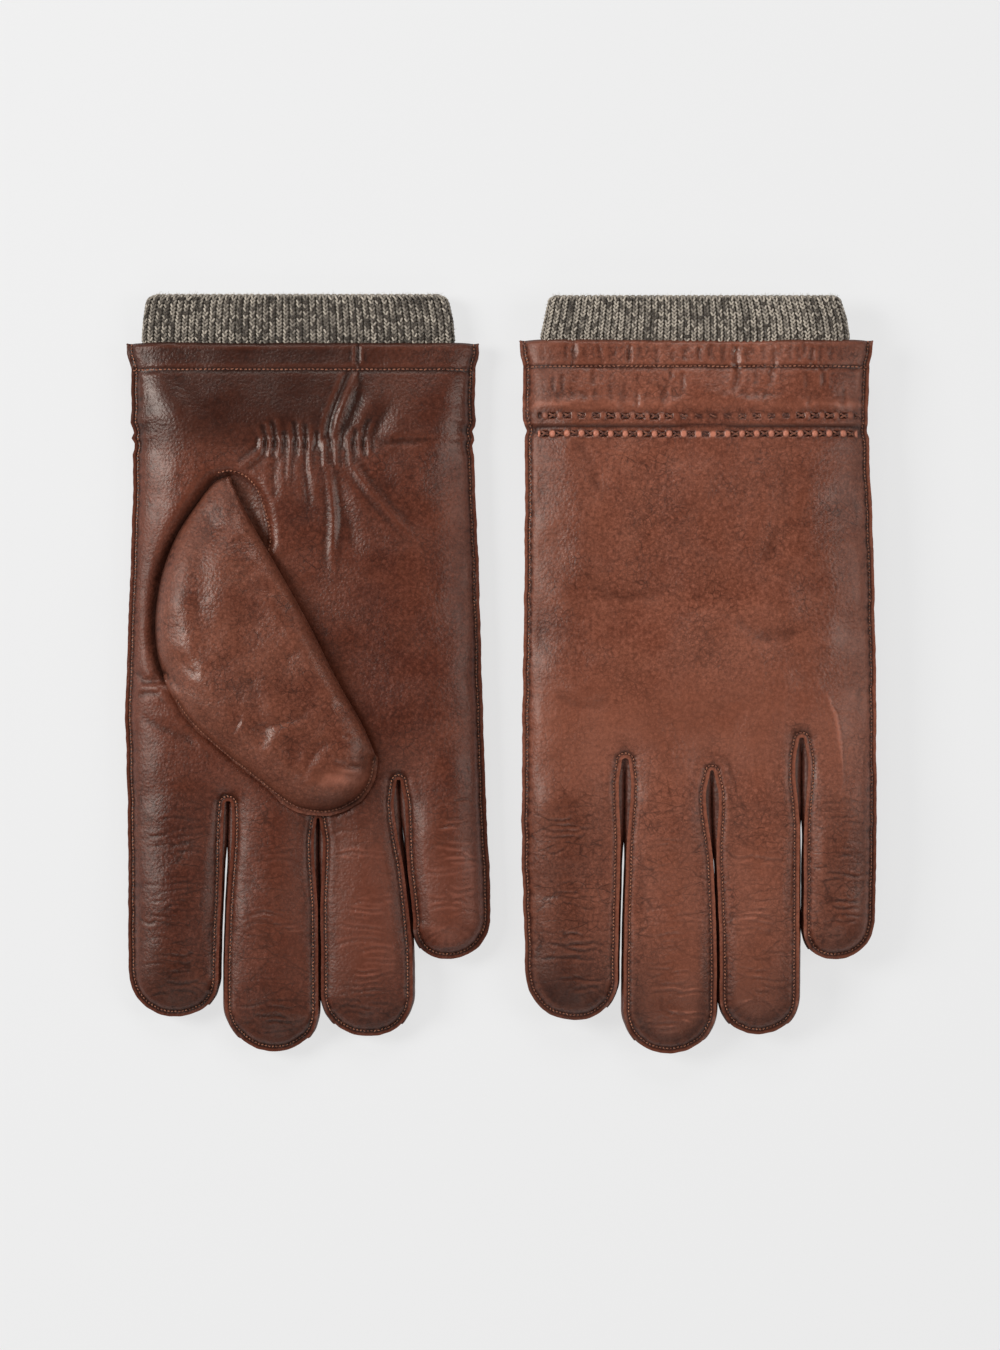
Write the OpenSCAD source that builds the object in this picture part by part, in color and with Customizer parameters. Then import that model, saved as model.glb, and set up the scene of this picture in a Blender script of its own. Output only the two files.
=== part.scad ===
// A pair of lined leather gloves lying side by side on a table. The right-hand glove lies palm up
// with its thumb folded over the palm. The left-hand glove lies back up on its own folded thumb.
//
// Each sub-part is drawn once, as it lies in the right-hand glove: fingers towards -Y, cuff towards
// +Y, back of the hand on Z = 0. The left-hand glove is the same parts mirrored in Z, with the
// fingers and the wrist drooping from the thumb that holds the palm up to the table.

/* [Glove] */
// Overall length, from the top of the knit cuff to the middle fingertip
glove_len = 240; // [220:1:260]
// Overall width across the four fingers
glove_w = 114; // [104:1:124]
// Thickness of the puffed hand and fingers as the glove lies
hand_t = 14; // [13:0.5:16]
// Thickness of the folded thumb on top of the palm
thumb_t = 7.6; // [7.4:0.1:9]
// Distance between the centre lines of the two gloves
glove_pitch = 123.6; // [118:0.1:150]

/* [Leather and lining] */
// Thickness of the glove leather
leather = 0.9; // [0.7:0.1:1]
// Thickness of the knitted lining in the hand and fingers
lining = 1.2; // [0.8:0.1:1.2]
// Thickness of the thinner lining in the thumb
thumb_lining = 0.5; // [0.4:0.1:0.5]
// Thickness of the ribbed knit of the cuff
knit = 1.6; // [1.2:0.1:1.8]

/* [Cuff] */
// Depth of the turned hem at the leather edge
hem_depth = 8.3; // [6:0.1:10]
// Height of the knit that shows above the leather edge
knit_show = 15; // [10:1:25]
// Length of knit sewn inside the leather
knit_hidden = 35; // [25:1:35]
// Width of the knit cuff as it lies
knit_w = 98; // [90:1:100]
// Width of the leather at the wrist and at its top edge
wrist_w = 109; // [102:1:112]
// Height of the leather band above the two decorative stitch rows
band_h = 27.2; // [20:0.1:30]

/* [Stitches] */
// Bead stitches in each decorative row
bead_count = 22; // [16:1:28]
// Length of one bead stitch
bead_len = 2.6; // [2:0.1:3]

/* [Hidden] */

$fn = 48;
eps = 0.01;

// Heights of the layers, from the back of the hand upwards.
slack = 0.3;                            // leather to lining
lining_bottom = leather + slack;
lining_top = hand_t - leather - slack;
mid = hand_t / 2;
seam_gap = 0.1;                         // between the edges of the two leather halves
thumb_gap = 0.4;                        // palm to the folded thumb
thumb_z = hand_t + thumb_gap;
stack_t = thumb_z + thumb_t;            // height of the whole glove

// Lengths along the glove.
half_len = glove_len / 2;
cuff_y = half_len - knit_show;          // top edge of the leather
band_y = cuff_y - band_h;               // seam under the cuff band
wrist_y = 66;                           // where the left-hand glove bends down to the table
elastic_y = 73;
knit_r = (hand_t - 4) / 2;              // half the thickness of the knit cuff
knit_y = cuff_y - knit_hidden;          // inner end of the knit cuff
wrist_droop = 6;                        // degrees, left-hand glove

// Fingers, from the index to the little finger.
finger_gap = 0.5;
finger_share = [0.2702, 0.2667, 0.2578, 0.2053];
finger_w = [for (s = finger_share) s * (glove_w - 3 * finger_gap)];
knuckle_y = [-42, -46.5, -46, -35];
tip_y = [-half_len + 11.5, -half_len, -half_len + 5.5, -half_len + 30];
knuckle_gap = 0.4;
function finger_left(f) = f == 0 ? -glove_w / 2 : finger_left(f - 1) + finger_w[f - 1] + finger_gap;
function finger_mid(f) = finger_left(f) + finger_w[f] / 2;
function finger_len(f) = knuckle_y[f] - tip_y[f];
function finger_droop(f) = asin((stack_t - hand_t - 0.02) / finger_len(f));

// The drooping ends make the left-hand glove longer; this centres it on the right-hand one.
longest_droop = finger_droop(1);
left_low = knuckle_y[1] - knuckle_gap / 2 - (finger_len(1) - knuckle_gap / 2) * cos(longest_droop)
    - hand_t * sin(longest_droop);
left_high = wrist_y + (half_len - wrist_y) * cos(wrist_droop) + knit_r * sin(wrist_droop);
left_shift = -(left_low + left_high) / 2;

// The thumb is laid out from its hinge line: u to its right, v along it towards the cuff.
hinge_foot = [-46, -4.7];
hinge_turn = -16.3;                     // degrees
thumb_start = 4.6;                      // the thumb's edge nearest its hinge
thumb_mouth = 16;                       // where its underside starts
thumb_tip = [59, -8.3];
thumb_tip_r = 13.5;

// The leather colours: the back is a little lighter than the palm.
palm_brown = [0.30, 0.13, 0.09];
back_brown = [0.40, 0.19, 0.13];
edge_brown = [0.22, 0.09, 0.06];
knit_grey = [0.46, 0.43, 0.38];
lining_grey = [0.40, 0.38, 0.35];

// ---------------------------------------------------------------- placing the two gloves

module right_glove() {
    translate([-glove_pitch / 2, 0, 0]) children();
}

module left_glove() {
    translate([glove_pitch / 2, left_shift, stack_t]) mirror([0, 0, 1]) children();
}

module place(side) {
    if (side == "right") right_glove() children();
    if (side == "left") left_glove() children();
}

// Turns what is above the wrist line by the wrist's droop.
module bent_wrist(side) {
    droop = side == "left" ? wrist_droop : 0;
    translate([0, wrist_y, mid]) rotate([droop, 0, 0]) translate([0, -wrist_y, -mid]) children();
}

// Turns a finger about the palm side of its knuckle line.
module bent_finger(side, f) {
    droop = side == "left" ? finger_droop(f) : 0;
    pivot = [0, knuckle_y[f] - knuckle_gap / 2, hand_t];
    translate(pivot) rotate([-droop, 0, 0]) translate(-pivot) children();
}

module at_thumb() {
    translate([hinge_foot[0], hinge_foot[1], 0]) rotate([0, 0, hinge_turn]) children();
}

// ---------------------------------------------------------------- outlines

// Left half-width of the hand at each height, from the knuckles to the cuff.
hand_sides = [[glove_w / 2, -60], [glove_w / 2, -20], [wrist_w / 2 + 1, wrist_y], [wrist_w / 2, half_len]];

// The hand between two heights; its sides move in by inset.
module hand_outline(inset, y0, y1) {
    n = len(hand_sides);
    intersection() {
        polygon(concat(
            [for (p = hand_sides) [inset - p[0], p[1]]],
            [for (i = [n - 1:-1:0]) [hand_sides[i][0] - inset, hand_sides[i][1]]]));
        translate([-glove_w, y0]) square([2 * glove_w, y1 - y0]);
    }
}

// The steps of the knuckle lines, taken off the hand's lower end.
module below_knuckles() {
    for (f = [0:3]) {
        left = f == 0 ? -glove_w : finger_left(f) - finger_gap / 2;
        right = f == 3 ? glove_w : finger_left(f) + finger_w[f] + finger_gap / 2;
        translate([left, -half_len - 1]) square([right - left + eps, knuckle_y[f] + half_len + 1]);
    }
}

// The hand from the knuckles up to a height.
module palm_outline(inset, top) {
    difference() {
        hand_outline(inset, -60, top);
        below_knuckles();
    }
}

module finger_outline(f, inset, y1) {
    r = finger_w[f] / 2;
    centre = tip_y[f] + r;
    translate([finger_mid(f) - r + inset, centre]) square([2 * (r - inset), y1 - centre]);
    translate([finger_mid(f), centre]) circle(r - inset);
}

// The hole in the palm that the thumb grows from, grown outwards by extra.
module thumb_hole(extra) {
    at_thumb() linear_extrude(4 * hand_t, center = true) polygon([
        [4 - extra, 12 - extra], [thumb_mouth - 1 + extra, 8 - extra],
        [thumb_mouth - 1 + extra, 46 + extra], [9 + extra, 58 + extra], [4 - extra, 58 + extra]]);
}

module thumb_outline(inset) {
    r = thumb_tip_r;
    edge = 31;                          // slope of the seam edge, degrees
    fold = 43;                          // slope of the folded edge's normal, degrees
    reach = r - inset - 0.1;            // ends just inside the tip's circle
    translate(thumb_tip) circle(r - inset);
    polygon([
        thumb_tip - reach * [sin(edge), cos(edge)], thumb_tip + reach * [cos(fold), sin(fold)],
        [6.5, 67.5 - 1.6 * inset], [thumb_start - 5, 66 - inset], [thumb_start - 5, 9 + inset * 1.2]]);
}

// ---------------------------------------------------------------- hand

// One half of a leather hand: a flat panel with half-height walls down both sides.
module hand_half(inset, thick, y0, y1, z_face, z_mid) {
    face = z_face > z_mid ? z_face - thick : z_face;
    translate([0, 0, face]) linear_extrude(thick) difference() {
        hand_outline(inset, y0, y1);
        below_knuckles();
    }
    low = min(z_face, z_mid);
    translate([0, 0, low]) linear_extrude(abs(z_face - z_mid)) difference() {
        hand_outline(inset, y0, y1);
        hand_outline(inset + thick, -half_len, half_len);
        below_knuckles();
    }
}

// A hand half that bends at the wrist.
module bent_half(side, inset, thick, top, z_face, z_mid) {
    lap = side == "left" ? 0.9 : 0;
    hand_half(inset, thick, -60, wrist_y, z_face, z_mid);
    bent_wrist(side) hand_half(inset, thick, wrist_y - lap - eps, top, z_face, z_mid);
}

module hem(z0) {
    translate([0, 0, z0]) linear_extrude(leather) hand_outline(leather, cuff_y - hem_depth, cuff_y);
}

module palm(side) {
    color(palm_brown) difference() {
        union() {
            bent_half(side, 0, leather, cuff_y, hand_t, mid + seam_gap / 2);
            bent_wrist(side) hem(hand_t - 2 * leather);
        }
        thumb_hole(0);
    }
}

module back(side) {
    color(back_brown) bent_half(side, 0, leather, band_y - 0.1, 0, mid - seam_gap / 2);
}

module cuff_band(side) {
    color(back_brown) bent_wrist(side) {
        hand_half(0, leather, band_y + 0.1, cuff_y, 0, mid - seam_gap / 2);
        hem(leather - eps);
    }
}

module palm_lining(side) {
    color(lining_grey) difference() {
        bent_half(side, lining_bottom, lining, knit_y - 0.1, lining_top, mid + seam_gap / 2);
        thumb_hole(0.2);
    }
}

module back_lining(side) {
    color(lining_grey) bent_half(side, lining_bottom, lining, knit_y - 0.1, lining_bottom, mid - seam_gap / 2);
}

// A flat tube of ribbed knit with round sides.
module knit_section(inset) {
    r = knit_r - inset;
    for (s = [-1, 1]) translate([s * (knit_w / 2 - r - inset), mid]) circle(r);
    translate([-(knit_w / 2 - r - inset), mid - r]) square([knit_w - 2 * (r + inset), 2 * r]);
}

module knit_cuff(side) {
    color(knit_grey) bent_wrist(side) translate([0, half_len, 0]) rotate([90, 0, 0])
        linear_extrude(half_len - knit_y) difference() {
            knit_section(0);
            knit_section(knit);
        }
}

module wrist_elastic(side) {
    color("whitesmoke") bent_wrist(side) translate([-24, elastic_y - 2.5, hand_t - leather - 0.9])
        cube([52, 5, 0.8]);
}

module bead_stitches(side) {
    pitch = (wrist_w - 12) / bead_count;
    color(edge_brown) bent_wrist(side)
        for (row = [-1, 1], i = [0:bead_count - 1])
            translate([(i - (bead_count - 1) / 2) * pitch - bead_len / 2, band_y + row * 2.8 - 0.45, leather])
                cube([bead_len, 0.9, 0.25]);
}

// ---------------------------------------------------------------- thumb

module thumb_slab(inset, z0, z1, start) {
    intersection() {
        translate([0, 0, z0]) linear_extrude(z1 - z0) thumb_outline(inset);
        translate([start, -60, z0 - 1]) cube([120, 180, z1 - z0 + 2]);
    }
}

// The top of the thumb and its walls, all one piece of leather.
module thumb_outer() {
    color(back_brown) at_thumb() difference() {
        thumb_slab(0, thumb_z + leather + 0.05, stack_t, thumb_start);
        thumb_slab(leather, thumb_z, stack_t - leather, thumb_start - 1);
    }
}

module thumb_inner() {
    color(palm_brown) at_thumb() thumb_slab(0, thumb_z, thumb_z + leather, thumb_mouth);
}

// A pocket that is open at the hinge side and, below, over the palm's thumb hole.
module thumb_pocket() {
    low = thumb_z + leather + 0.1;
    high = stack_t - leather - 0.1;
    color(lining_grey) at_thumb() difference() {
        thumb_slab(leather + 0.1, low, high, thumb_start);
        thumb_slab(leather + 0.1 + thumb_lining, low + thumb_lining, high - thumb_lining, thumb_start - 1);
        translate([0, -60, low - 1]) cube([thumb_mouth, 180, 1 + thumb_lining + eps]);
    }
}

// ---------------------------------------------------------------- fingers

has_fork_left = [false, true, true, true];
has_fork_right = [true, true, true, false];

// The part of a finger's rim that the two leather halves close themselves: the tip, and the outer
// sides of the index and little fingers.
module closed_rim(f, y1) {
    centre = tip_y[f] + finger_w[f] / 2;
    left = finger_left(f) - 1;
    difference() {
        finger_outline(f, 0, y1);
        finger_outline(f, leather, y1 + 1);
        if (has_fork_left[f]) translate([left, centre]) square([finger_w[f] / 2, half_len]);
        if (has_fork_right[f]) translate([finger_mid(f), centre]) square([finger_w[f] / 2 + 1, half_len]);
    }
}

module finger_half(f, z_face, z_mid) {
    y1 = knuckle_y[f] - knuckle_gap;
    face = z_face > z_mid ? z_face - leather : z_face;
    translate([0, 0, face]) linear_extrude(leather) finger_outline(f, 0, y1);
    translate([0, 0, min(z_face, z_mid)]) linear_extrude(abs(z_face - z_mid)) closed_rim(f, y1);
}

module finger_palm_side(side, f) {
    color(palm_brown) bent_finger(side, f) finger_half(f, hand_t, mid + seam_gap / 2);
}

module finger_back_side(side, f) {
    color(back_brown) bent_finger(side, f) finger_half(f, 0, mid - seam_gap / 2);
}

// The narrow side walls between neighbouring fingers.
module fourchette(side, f) {
    y0 = tip_y[f] + finger_w[f] / 2 + 0.05;
    walls = [if (has_fork_left[f]) finger_left(f), if (has_fork_right[f]) finger_left(f) + finger_w[f] - leather];
    color(edge_brown) bent_finger(side, f)
        for (x = walls)
            translate([x, y0, leather + 0.05])
                cube([leather, knuckle_y[f] - knuckle_gap - y0, hand_t - 2 * leather - 0.1]);
}

module finger_lining(side, f) {
    y1 = knuckle_y[f] - knuckle_gap;
    color(lining_grey) bent_finger(side, f) difference() {
        translate([0, 0, lining_bottom]) linear_extrude(lining_top - lining_bottom)
            finger_outline(f, lining_bottom, y1);
        translate([0, 0, lining_bottom + lining]) linear_extrude(lining_top - lining_bottom - 2 * lining)
            finger_outline(f, lining_bottom + lining, y1 + 1);
    }
}

// ---------------------------------------------------------------- the pair

for (side = ["right", "left"]) {
    place(side) palm(side);
    place(side) back(side);
    place(side) cuff_band(side);
    place(side) knit_cuff(side);
    place(side) palm_lining(side);
    place(side) back_lining(side);
    place(side) wrist_elastic(side);
    place(side) bead_stitches(side);
    place(side) thumb_outer();
    place(side) thumb_inner();
    place(side) thumb_pocket();
    for (f = [0:3]) {
        name = str(side, "_", ["index", "middle", "ring", "little"][f]);
        place(side) finger_palm_side(side, f);
        place(side) finger_back_side(side, f);
        place(side) fourchette(side, f);
        place(side) finger_lining(side, f);
    }
}
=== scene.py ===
"""Looks for a pair of lined leather gloves with ribbed knit cuffs, lying side by side on a pale floor.

Each glove is drawn flat first: the right-hand glove as it lies, palm up, with its back on Z = 0. The
left-hand glove is the same glove turned over on its own thumb, with its ends drooping to the floor.
Lengths are in millimetres until a mesh is made.
"""

import math

import bpy
import numpy as np
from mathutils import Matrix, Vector
from mathutils.geometry import delaunay_2d_cdt


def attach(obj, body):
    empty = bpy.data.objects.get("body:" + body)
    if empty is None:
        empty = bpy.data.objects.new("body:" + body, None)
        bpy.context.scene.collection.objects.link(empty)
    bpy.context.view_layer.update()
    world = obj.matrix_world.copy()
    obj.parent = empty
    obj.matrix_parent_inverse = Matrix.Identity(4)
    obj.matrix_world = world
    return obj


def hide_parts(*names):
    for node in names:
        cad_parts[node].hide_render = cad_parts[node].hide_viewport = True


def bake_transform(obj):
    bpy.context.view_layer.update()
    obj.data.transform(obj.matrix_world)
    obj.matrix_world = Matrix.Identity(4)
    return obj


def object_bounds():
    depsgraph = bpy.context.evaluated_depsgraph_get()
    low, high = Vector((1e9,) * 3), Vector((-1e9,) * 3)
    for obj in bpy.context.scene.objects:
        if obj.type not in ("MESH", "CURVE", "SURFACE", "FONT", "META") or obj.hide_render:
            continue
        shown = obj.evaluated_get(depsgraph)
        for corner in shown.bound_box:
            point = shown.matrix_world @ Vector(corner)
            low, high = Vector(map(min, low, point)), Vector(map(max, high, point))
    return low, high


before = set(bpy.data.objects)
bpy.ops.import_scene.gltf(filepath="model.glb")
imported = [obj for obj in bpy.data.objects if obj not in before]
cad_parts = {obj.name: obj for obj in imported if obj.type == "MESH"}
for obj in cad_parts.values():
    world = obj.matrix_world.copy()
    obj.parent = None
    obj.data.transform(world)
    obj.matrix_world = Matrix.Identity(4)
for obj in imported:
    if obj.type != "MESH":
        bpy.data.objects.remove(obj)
cad_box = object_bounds()

MM = 0.001
FINGERS = ["index", "middle", "ring", "little"]

# ---------------------------------------------------------------- sizes shared with the CAD

PITCH = 123.6                       # between the centre lines of the two gloves
STACK = 22.0                        # height of a hand lying on its folded thumb
CUFF_Y = 105.0                      # top edge of the leather
BAND_Y = 77.8                       # seam under the cuff band
KNIT_TOPS = {"right": 120.0, "left": 118.6}
KNIT_END = 70.0                     # lower end of the knit, inside the leather
ELASTIC_Y = 73.5                    # the gathered line across the wrist
KNUCKLE_Y = [-42.2, -46.7, -46.2, -35.2]
LEATHER = 0.9                       # thickness
LEFT_SHIFT = 0.43                   # the left-hand glove sits this much nearer the cuffs

# ---------------------------------------------------------------- the two gloves' own shapes

# side_edge: height, left edge, right edge. gaps, for each half: top of the gap, its x there, its x at the
# bottom, half its width near the top and at the bottom. tip_y and tip_lean: where each fingertip ends and
# how far it leans. seam_z: height of the side seams. back_low: height of the back half's lowest part.
GLOVES = {
    "right": {
        "x": -PITCH / 2,
        "y": 0.0,
        "side_edge": [(105, -56.4, 54.9), (101, -56.2, 55.2), (97, -55.0, 54.0), (84, -55.0, 53.8),
                      (79.5, -55.2, 54.2), (77, -53.9, 52.9), (75, -54.9, 53.9), (72.6, -53.6, 52.8),
                      (70, -54.4, 53.6), (60, -54.3, 53.9), (36, -55.2, 55.0),
                      (-11, -56.8, 56.3), (-42, -56.1, 57.4), (-62, -56.0, 58.5), (-100, -55.7, 59.2)],
        "palm_gaps": [(-39.8, -24.0, -26.0, 1.45, 0.95), (-45.0, 4.4, 4.9, 1.4, 0.45),
                      (-33.0, 29.8, 34.9, 1.8, 0.6)],
        "back_gaps": [(-27.0, -24.0, -26.0, 1.45, 0.95), (-31.0, 4.4, 4.9, 1.4, 0.45),
                      (-21.0, 29.8, 34.9, 1.8, 0.6)],
        "tip_y": [-108.2, -119.0, -114.4, -89.9],
        "tip_lean": [0.6, 0.8, 0.2, -1.6],
        "seam_z": 5.2,
        "back_low": 0.2,
        "seed": 3,
    },
    "left": {
        "x": PITCH / 2,
        "y": LEFT_SHIFT,
        "side_edge": [(105, -55.6, 55.6), (101, -55.6, 55.4), (97, -54.4, 54.4), (84, -54.6, 54.1),
                      (79, -54.6, 54.2), (76.5, -53.4, 53.6), (74, -54.2, 54.4), (67, -53.8, 54.5),
                      (36, -54.1, 55.8),
                      (-11, -54.7, 56.6), (-42, -55.0, 56.6), (-62, -54.8, 56.6), (-100, -53.6, 55.6)],
        "palm_gaps": [(-41.0, -22.6, -23.8, 1.9, 0.95), (-45.4, 4.6, 6.9, 2.0, 0.5),
                      (-34.0, 32.8, 33.0, 2.1, 0.7)],
        "back_gaps": [(-26.4, -22.6, -23.8, 1.9, 0.95), (-30.2, 4.6, 6.9, 2.0, 0.5),
                      (-20.0, 32.7, 33.0, 2.1, 0.7)],
        "tip_y": [-109.4, -119.9, -113.9, -89.9],
        "tip_lean": [0.8, -0.2, 0.0, -1.2],
        "seam_z": 6.6,
        "back_low": 0.7,
        "seed": 11,
    },
}

LIP = 1.6                           # leather outside the stitch line of a seam
PUFF_START = 2.0                    # where the leather starts to rise from its seam
CHAIN_STEP = 0.6                    # between the points of an outline

# The thumb, flat on the palm: its seam with the hand, its stitched edge and its folded edge.
THUMB_SEAM = [(-44.2, -0.6), (-46.2, 6.0), (-47.0, 14.0), (-46.5, 23.0), (-44.4, 33.5), (-39.8, 44.8),
              (-33.2, 55.0), (-28.0, 61.0), (-23.6, 62.6)]
THUMB_EDGE = [(-44.2, -0.6), (-41.4, -8.0), (-36.6, -15.4), (-27.4, -24.2), (-16.8, -32.6),
              (-5.6, -41.2), (1.2, -43.9), (9.4, -44.0), (17.6, -40.0), (22.2, -33.6), (23.4, -27.0)]
THUMB_FOLD = [(23.4, -27.0), (18.4, -15.4), (10.6, -1.6), (1.2, 17.0), (-8.3, 34.0), (-15.8, 46.8),
              (-20.6, 56.0), (-23.6, 62.6)]
HOLE_RIGHT = [(-23.6, 62.6), (-18.2, 60.6), (-14.6, 56.0), (-12.4, 48.0), (-11.8, 42.0),
              (-13.6, 30.0), (-20.0, 14.0), (-29.0, 3.0), (-38.0, -2.4), (-44.2, -0.6)]

# ---------------------------------------------------------------- small maths


def ramp(v, low, high):
    """0 below low, 1 above high and smooth between; low may be the larger."""
    t = np.clip((np.asarray(v, float) - low) / (high - low), 0, 1)
    return t * t * (3 - 2 * t)


def bell(v, width):
    """1 at 0, falling smoothly to 0 a few widths away."""
    return np.exp(-(np.asarray(v, float) / width) ** 2)


def noise2(x, y, cell, seed):
    """Smooth noise of about -1 to 1 over the plane, with bumps of about that size."""
    table = np.random.RandomState(seed).uniform(0, 2 * math.pi, (97, 97))
    u = np.asarray(x, float) / cell + 700.3
    v = np.asarray(y, float) / cell + 700.7
    i = np.floor(u).astype(int)
    j = np.floor(v).astype(int)
    fu = u - i
    fv = v - j

    def corner(a, b):
        angle = table[(i + a) % 97, (j + b) % 97]
        return np.cos(angle) * (fu - a) + np.sin(angle) * (fv - b)

    su = fu ** 3 * (fu * (6 * fu - 15) + 10)
    sv = fv ** 3 * (fv * (6 * fv - 15) + 10)
    low = corner(0, 0) * (1 - su) + corner(1, 0) * su
    high = corner(0, 1) * (1 - su) + corner(1, 1) * su
    return 1.5 * (low * (1 - sv) + high * sv)


def noise1(s, cell, seed):
    """The same along a line."""
    return noise2(s, 0 * s, cell, seed)


def smooth_line(points, step):
    """A curve through the points, resampled at even steps."""
    p = np.array(points, float)
    padded = np.vstack([2 * p[0] - p[1], p, 2 * p[-1] - p[-2]])
    out = []
    t = np.linspace(0, 1, 24, endpoint=False)[:, None]
    for k in range(1, len(padded) - 2):
        a, b, c, d = padded[k - 1:k + 3]
        out.append(0.5 * (2 * b + (c - a) * t + (2 * a - 5 * b + 4 * c - d) * t ** 2
                          + (3 * b - a - 3 * c + d) * t ** 3))
    return resample(np.vstack(out + [p[-1:]]), step)


def lengths(line):
    """How far along a line each of its points is."""
    return np.concatenate([[0], np.cumsum(np.linalg.norm(np.diff(line, axis=0), axis=1))])


def resample(line, step):
    """The columns of a line at even steps along its first two."""
    s = lengths(line[:, :2])
    n = max(2, int(round(s[-1] / step)) + 1)
    return np.column_stack([np.interp(np.linspace(0, s[-1], n), s, column) for column in line.T])


def normals_of(line):
    """Unit normals on the left of a line's direction."""
    along = np.gradient(line[:, :2], axis=0)
    along /= np.linalg.norm(along, axis=1)[:, None] + 1e-12
    return np.column_stack([-along[:, 1], along[:, 0]])


def nearest(points, line):
    """For each point: its signed distance to the line (left is positive) and where along it is nearest."""
    line = line[:, :2]
    distance = np.empty(len(points))
    place = np.empty(len(points))
    for k in range(0, len(points), 4000):
        part = points[k:k + 4000]
        square = (part[:, None, 0] - line[None, :, 0]) ** 2 + (part[:, None, 1] - line[None, :, 1]) ** 2
        i = square.argmin(1)
        best = np.full(len(part), 1e9)
        sign = np.ones(len(part))
        where = i.astype(float)
        for start in (np.maximum(i - 1, 0), np.minimum(i, len(line) - 2)):
            a = line[start]
            ab = line[start + 1] - a
            t = np.clip(((part - a) * ab).sum(1) / ((ab ** 2).sum(1) + 1e-12), 0, 1)
            off = part - (a + ab * t[:, None])
            d = np.linalg.norm(off, axis=1)
            side = np.sign(ab[:, 0] * (part[:, 1] - a[:, 1]) - ab[:, 1] * (part[:, 0] - a[:, 0]))
            closer = d < best
            best = np.where(closer, d, best)
            sign = np.where(closer, side, sign)
            where = np.where(closer, start + t, where)
        distance[k:k + 4000] = best * np.where(sign == 0, 1, sign)
        place[k:k + 4000] = where
    return distance, place


def inside(points, polygon):
    """Which points lie in a closed polygon."""
    found = np.zeros(len(points), bool)
    x, y = points[:, 0], points[:, 1]
    for a, b in zip(polygon, np.roll(polygon, -1, axis=0)):
        if a[1] == b[1]:
            continue
        crosses = (a[1] > y) != (b[1] > y)
        found ^= crosses & (x < (b[0] - a[0]) * (y - a[1]) / (b[1] - a[1]) + a[0])
    return found


def crease(x, y, points, width, depth, taper=0.25):
    """A groove along a curve: negative depth makes a ridge. It fades over taper of its length at each end."""
    line = smooth_line(points, max(0.8, width))
    out = np.zeros(len(x))
    reach = 4 * width
    near = ((x > line[:, 0].min() - reach) & (x < line[:, 0].max() + reach)
            & (y > line[:, 1].min() - reach) & (y < line[:, 1].max() + reach))
    if not near.any():
        return out
    d, place = nearest(np.column_stack([x[near], y[near]]), line)
    share = place / (len(line) - 1)
    fade = ramp(share, 0, taper) * ramp(share, 1, 1 - taper) if taper > 0 else 1.0
    out[near] = -depth * fade * (bell(d, width) - 0.35 * bell(np.abs(d) - 2.1 * width, 1.1 * width))
    return out


def creases(x, y, table):
    """The sum of several creases, each given as crease takes it."""
    out = np.zeros(len(x))
    for points, width, depth, *taper in table:
        out += crease(x, y, points, width, depth, *taper)
    return out


# ---------------------------------------------------------------- outlines of the leather halves


def side_edges(glove, y):
    """Left and right edge of the whole glove at given heights."""
    table = np.array(glove["side_edge"], float)[::-1]
    left = np.interp(y, table[:, 0], table[:, 1])
    right = np.interp(y, table[:, 0], table[:, 2])
    return left, right


def gap_x(gap, y):
    """Centre line of a gap between two fingers."""
    top, x_top, x_low = gap[0], gap[1], gap[2]
    return x_top + (x_low - x_top) * ramp(y, top, -95.0)


def gap_half(gap, y):
    """Half the width of a gap: a pointed top, a wider part, then a slit."""
    top, half_top, half_low = gap[0], gap[3], gap[4]
    below = np.maximum(top - np.asarray(y, float), 0)
    wedge = half_low + (half_top - half_low) * ramp(below, -1.0, 8.0) * (1 - ramp(below, 9.0, 30.0))
    tight = 0.9
    round_top = np.sqrt(np.clip(tight ** 2 - np.maximum(tight - below, 0) ** 2, 0, None))
    return np.minimum(wedge, round_top * (1 + 0.35 * below))


def finger_edges(glove, half, f, y):
    """Left and right edge of a finger at given heights."""
    left, right = side_edges(glove, y)
    gaps = glove[half + "_gaps"]
    if f > 0:
        left = gap_x(gaps[f - 1], y) + gap_half(gaps[f - 1], y)
    if f < 3:
        right = gap_x(gaps[f], y) - gap_half(gaps[f], y)
    return left, right


def tip_start(glove, half, f):
    """Height at which a finger's sides give way to its round tip."""
    left, right = finger_edges(glove, half, f, glove["tip_y"][f] + 14.0)
    return glove["tip_y"][f] + 0.5 * (right - left)


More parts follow.
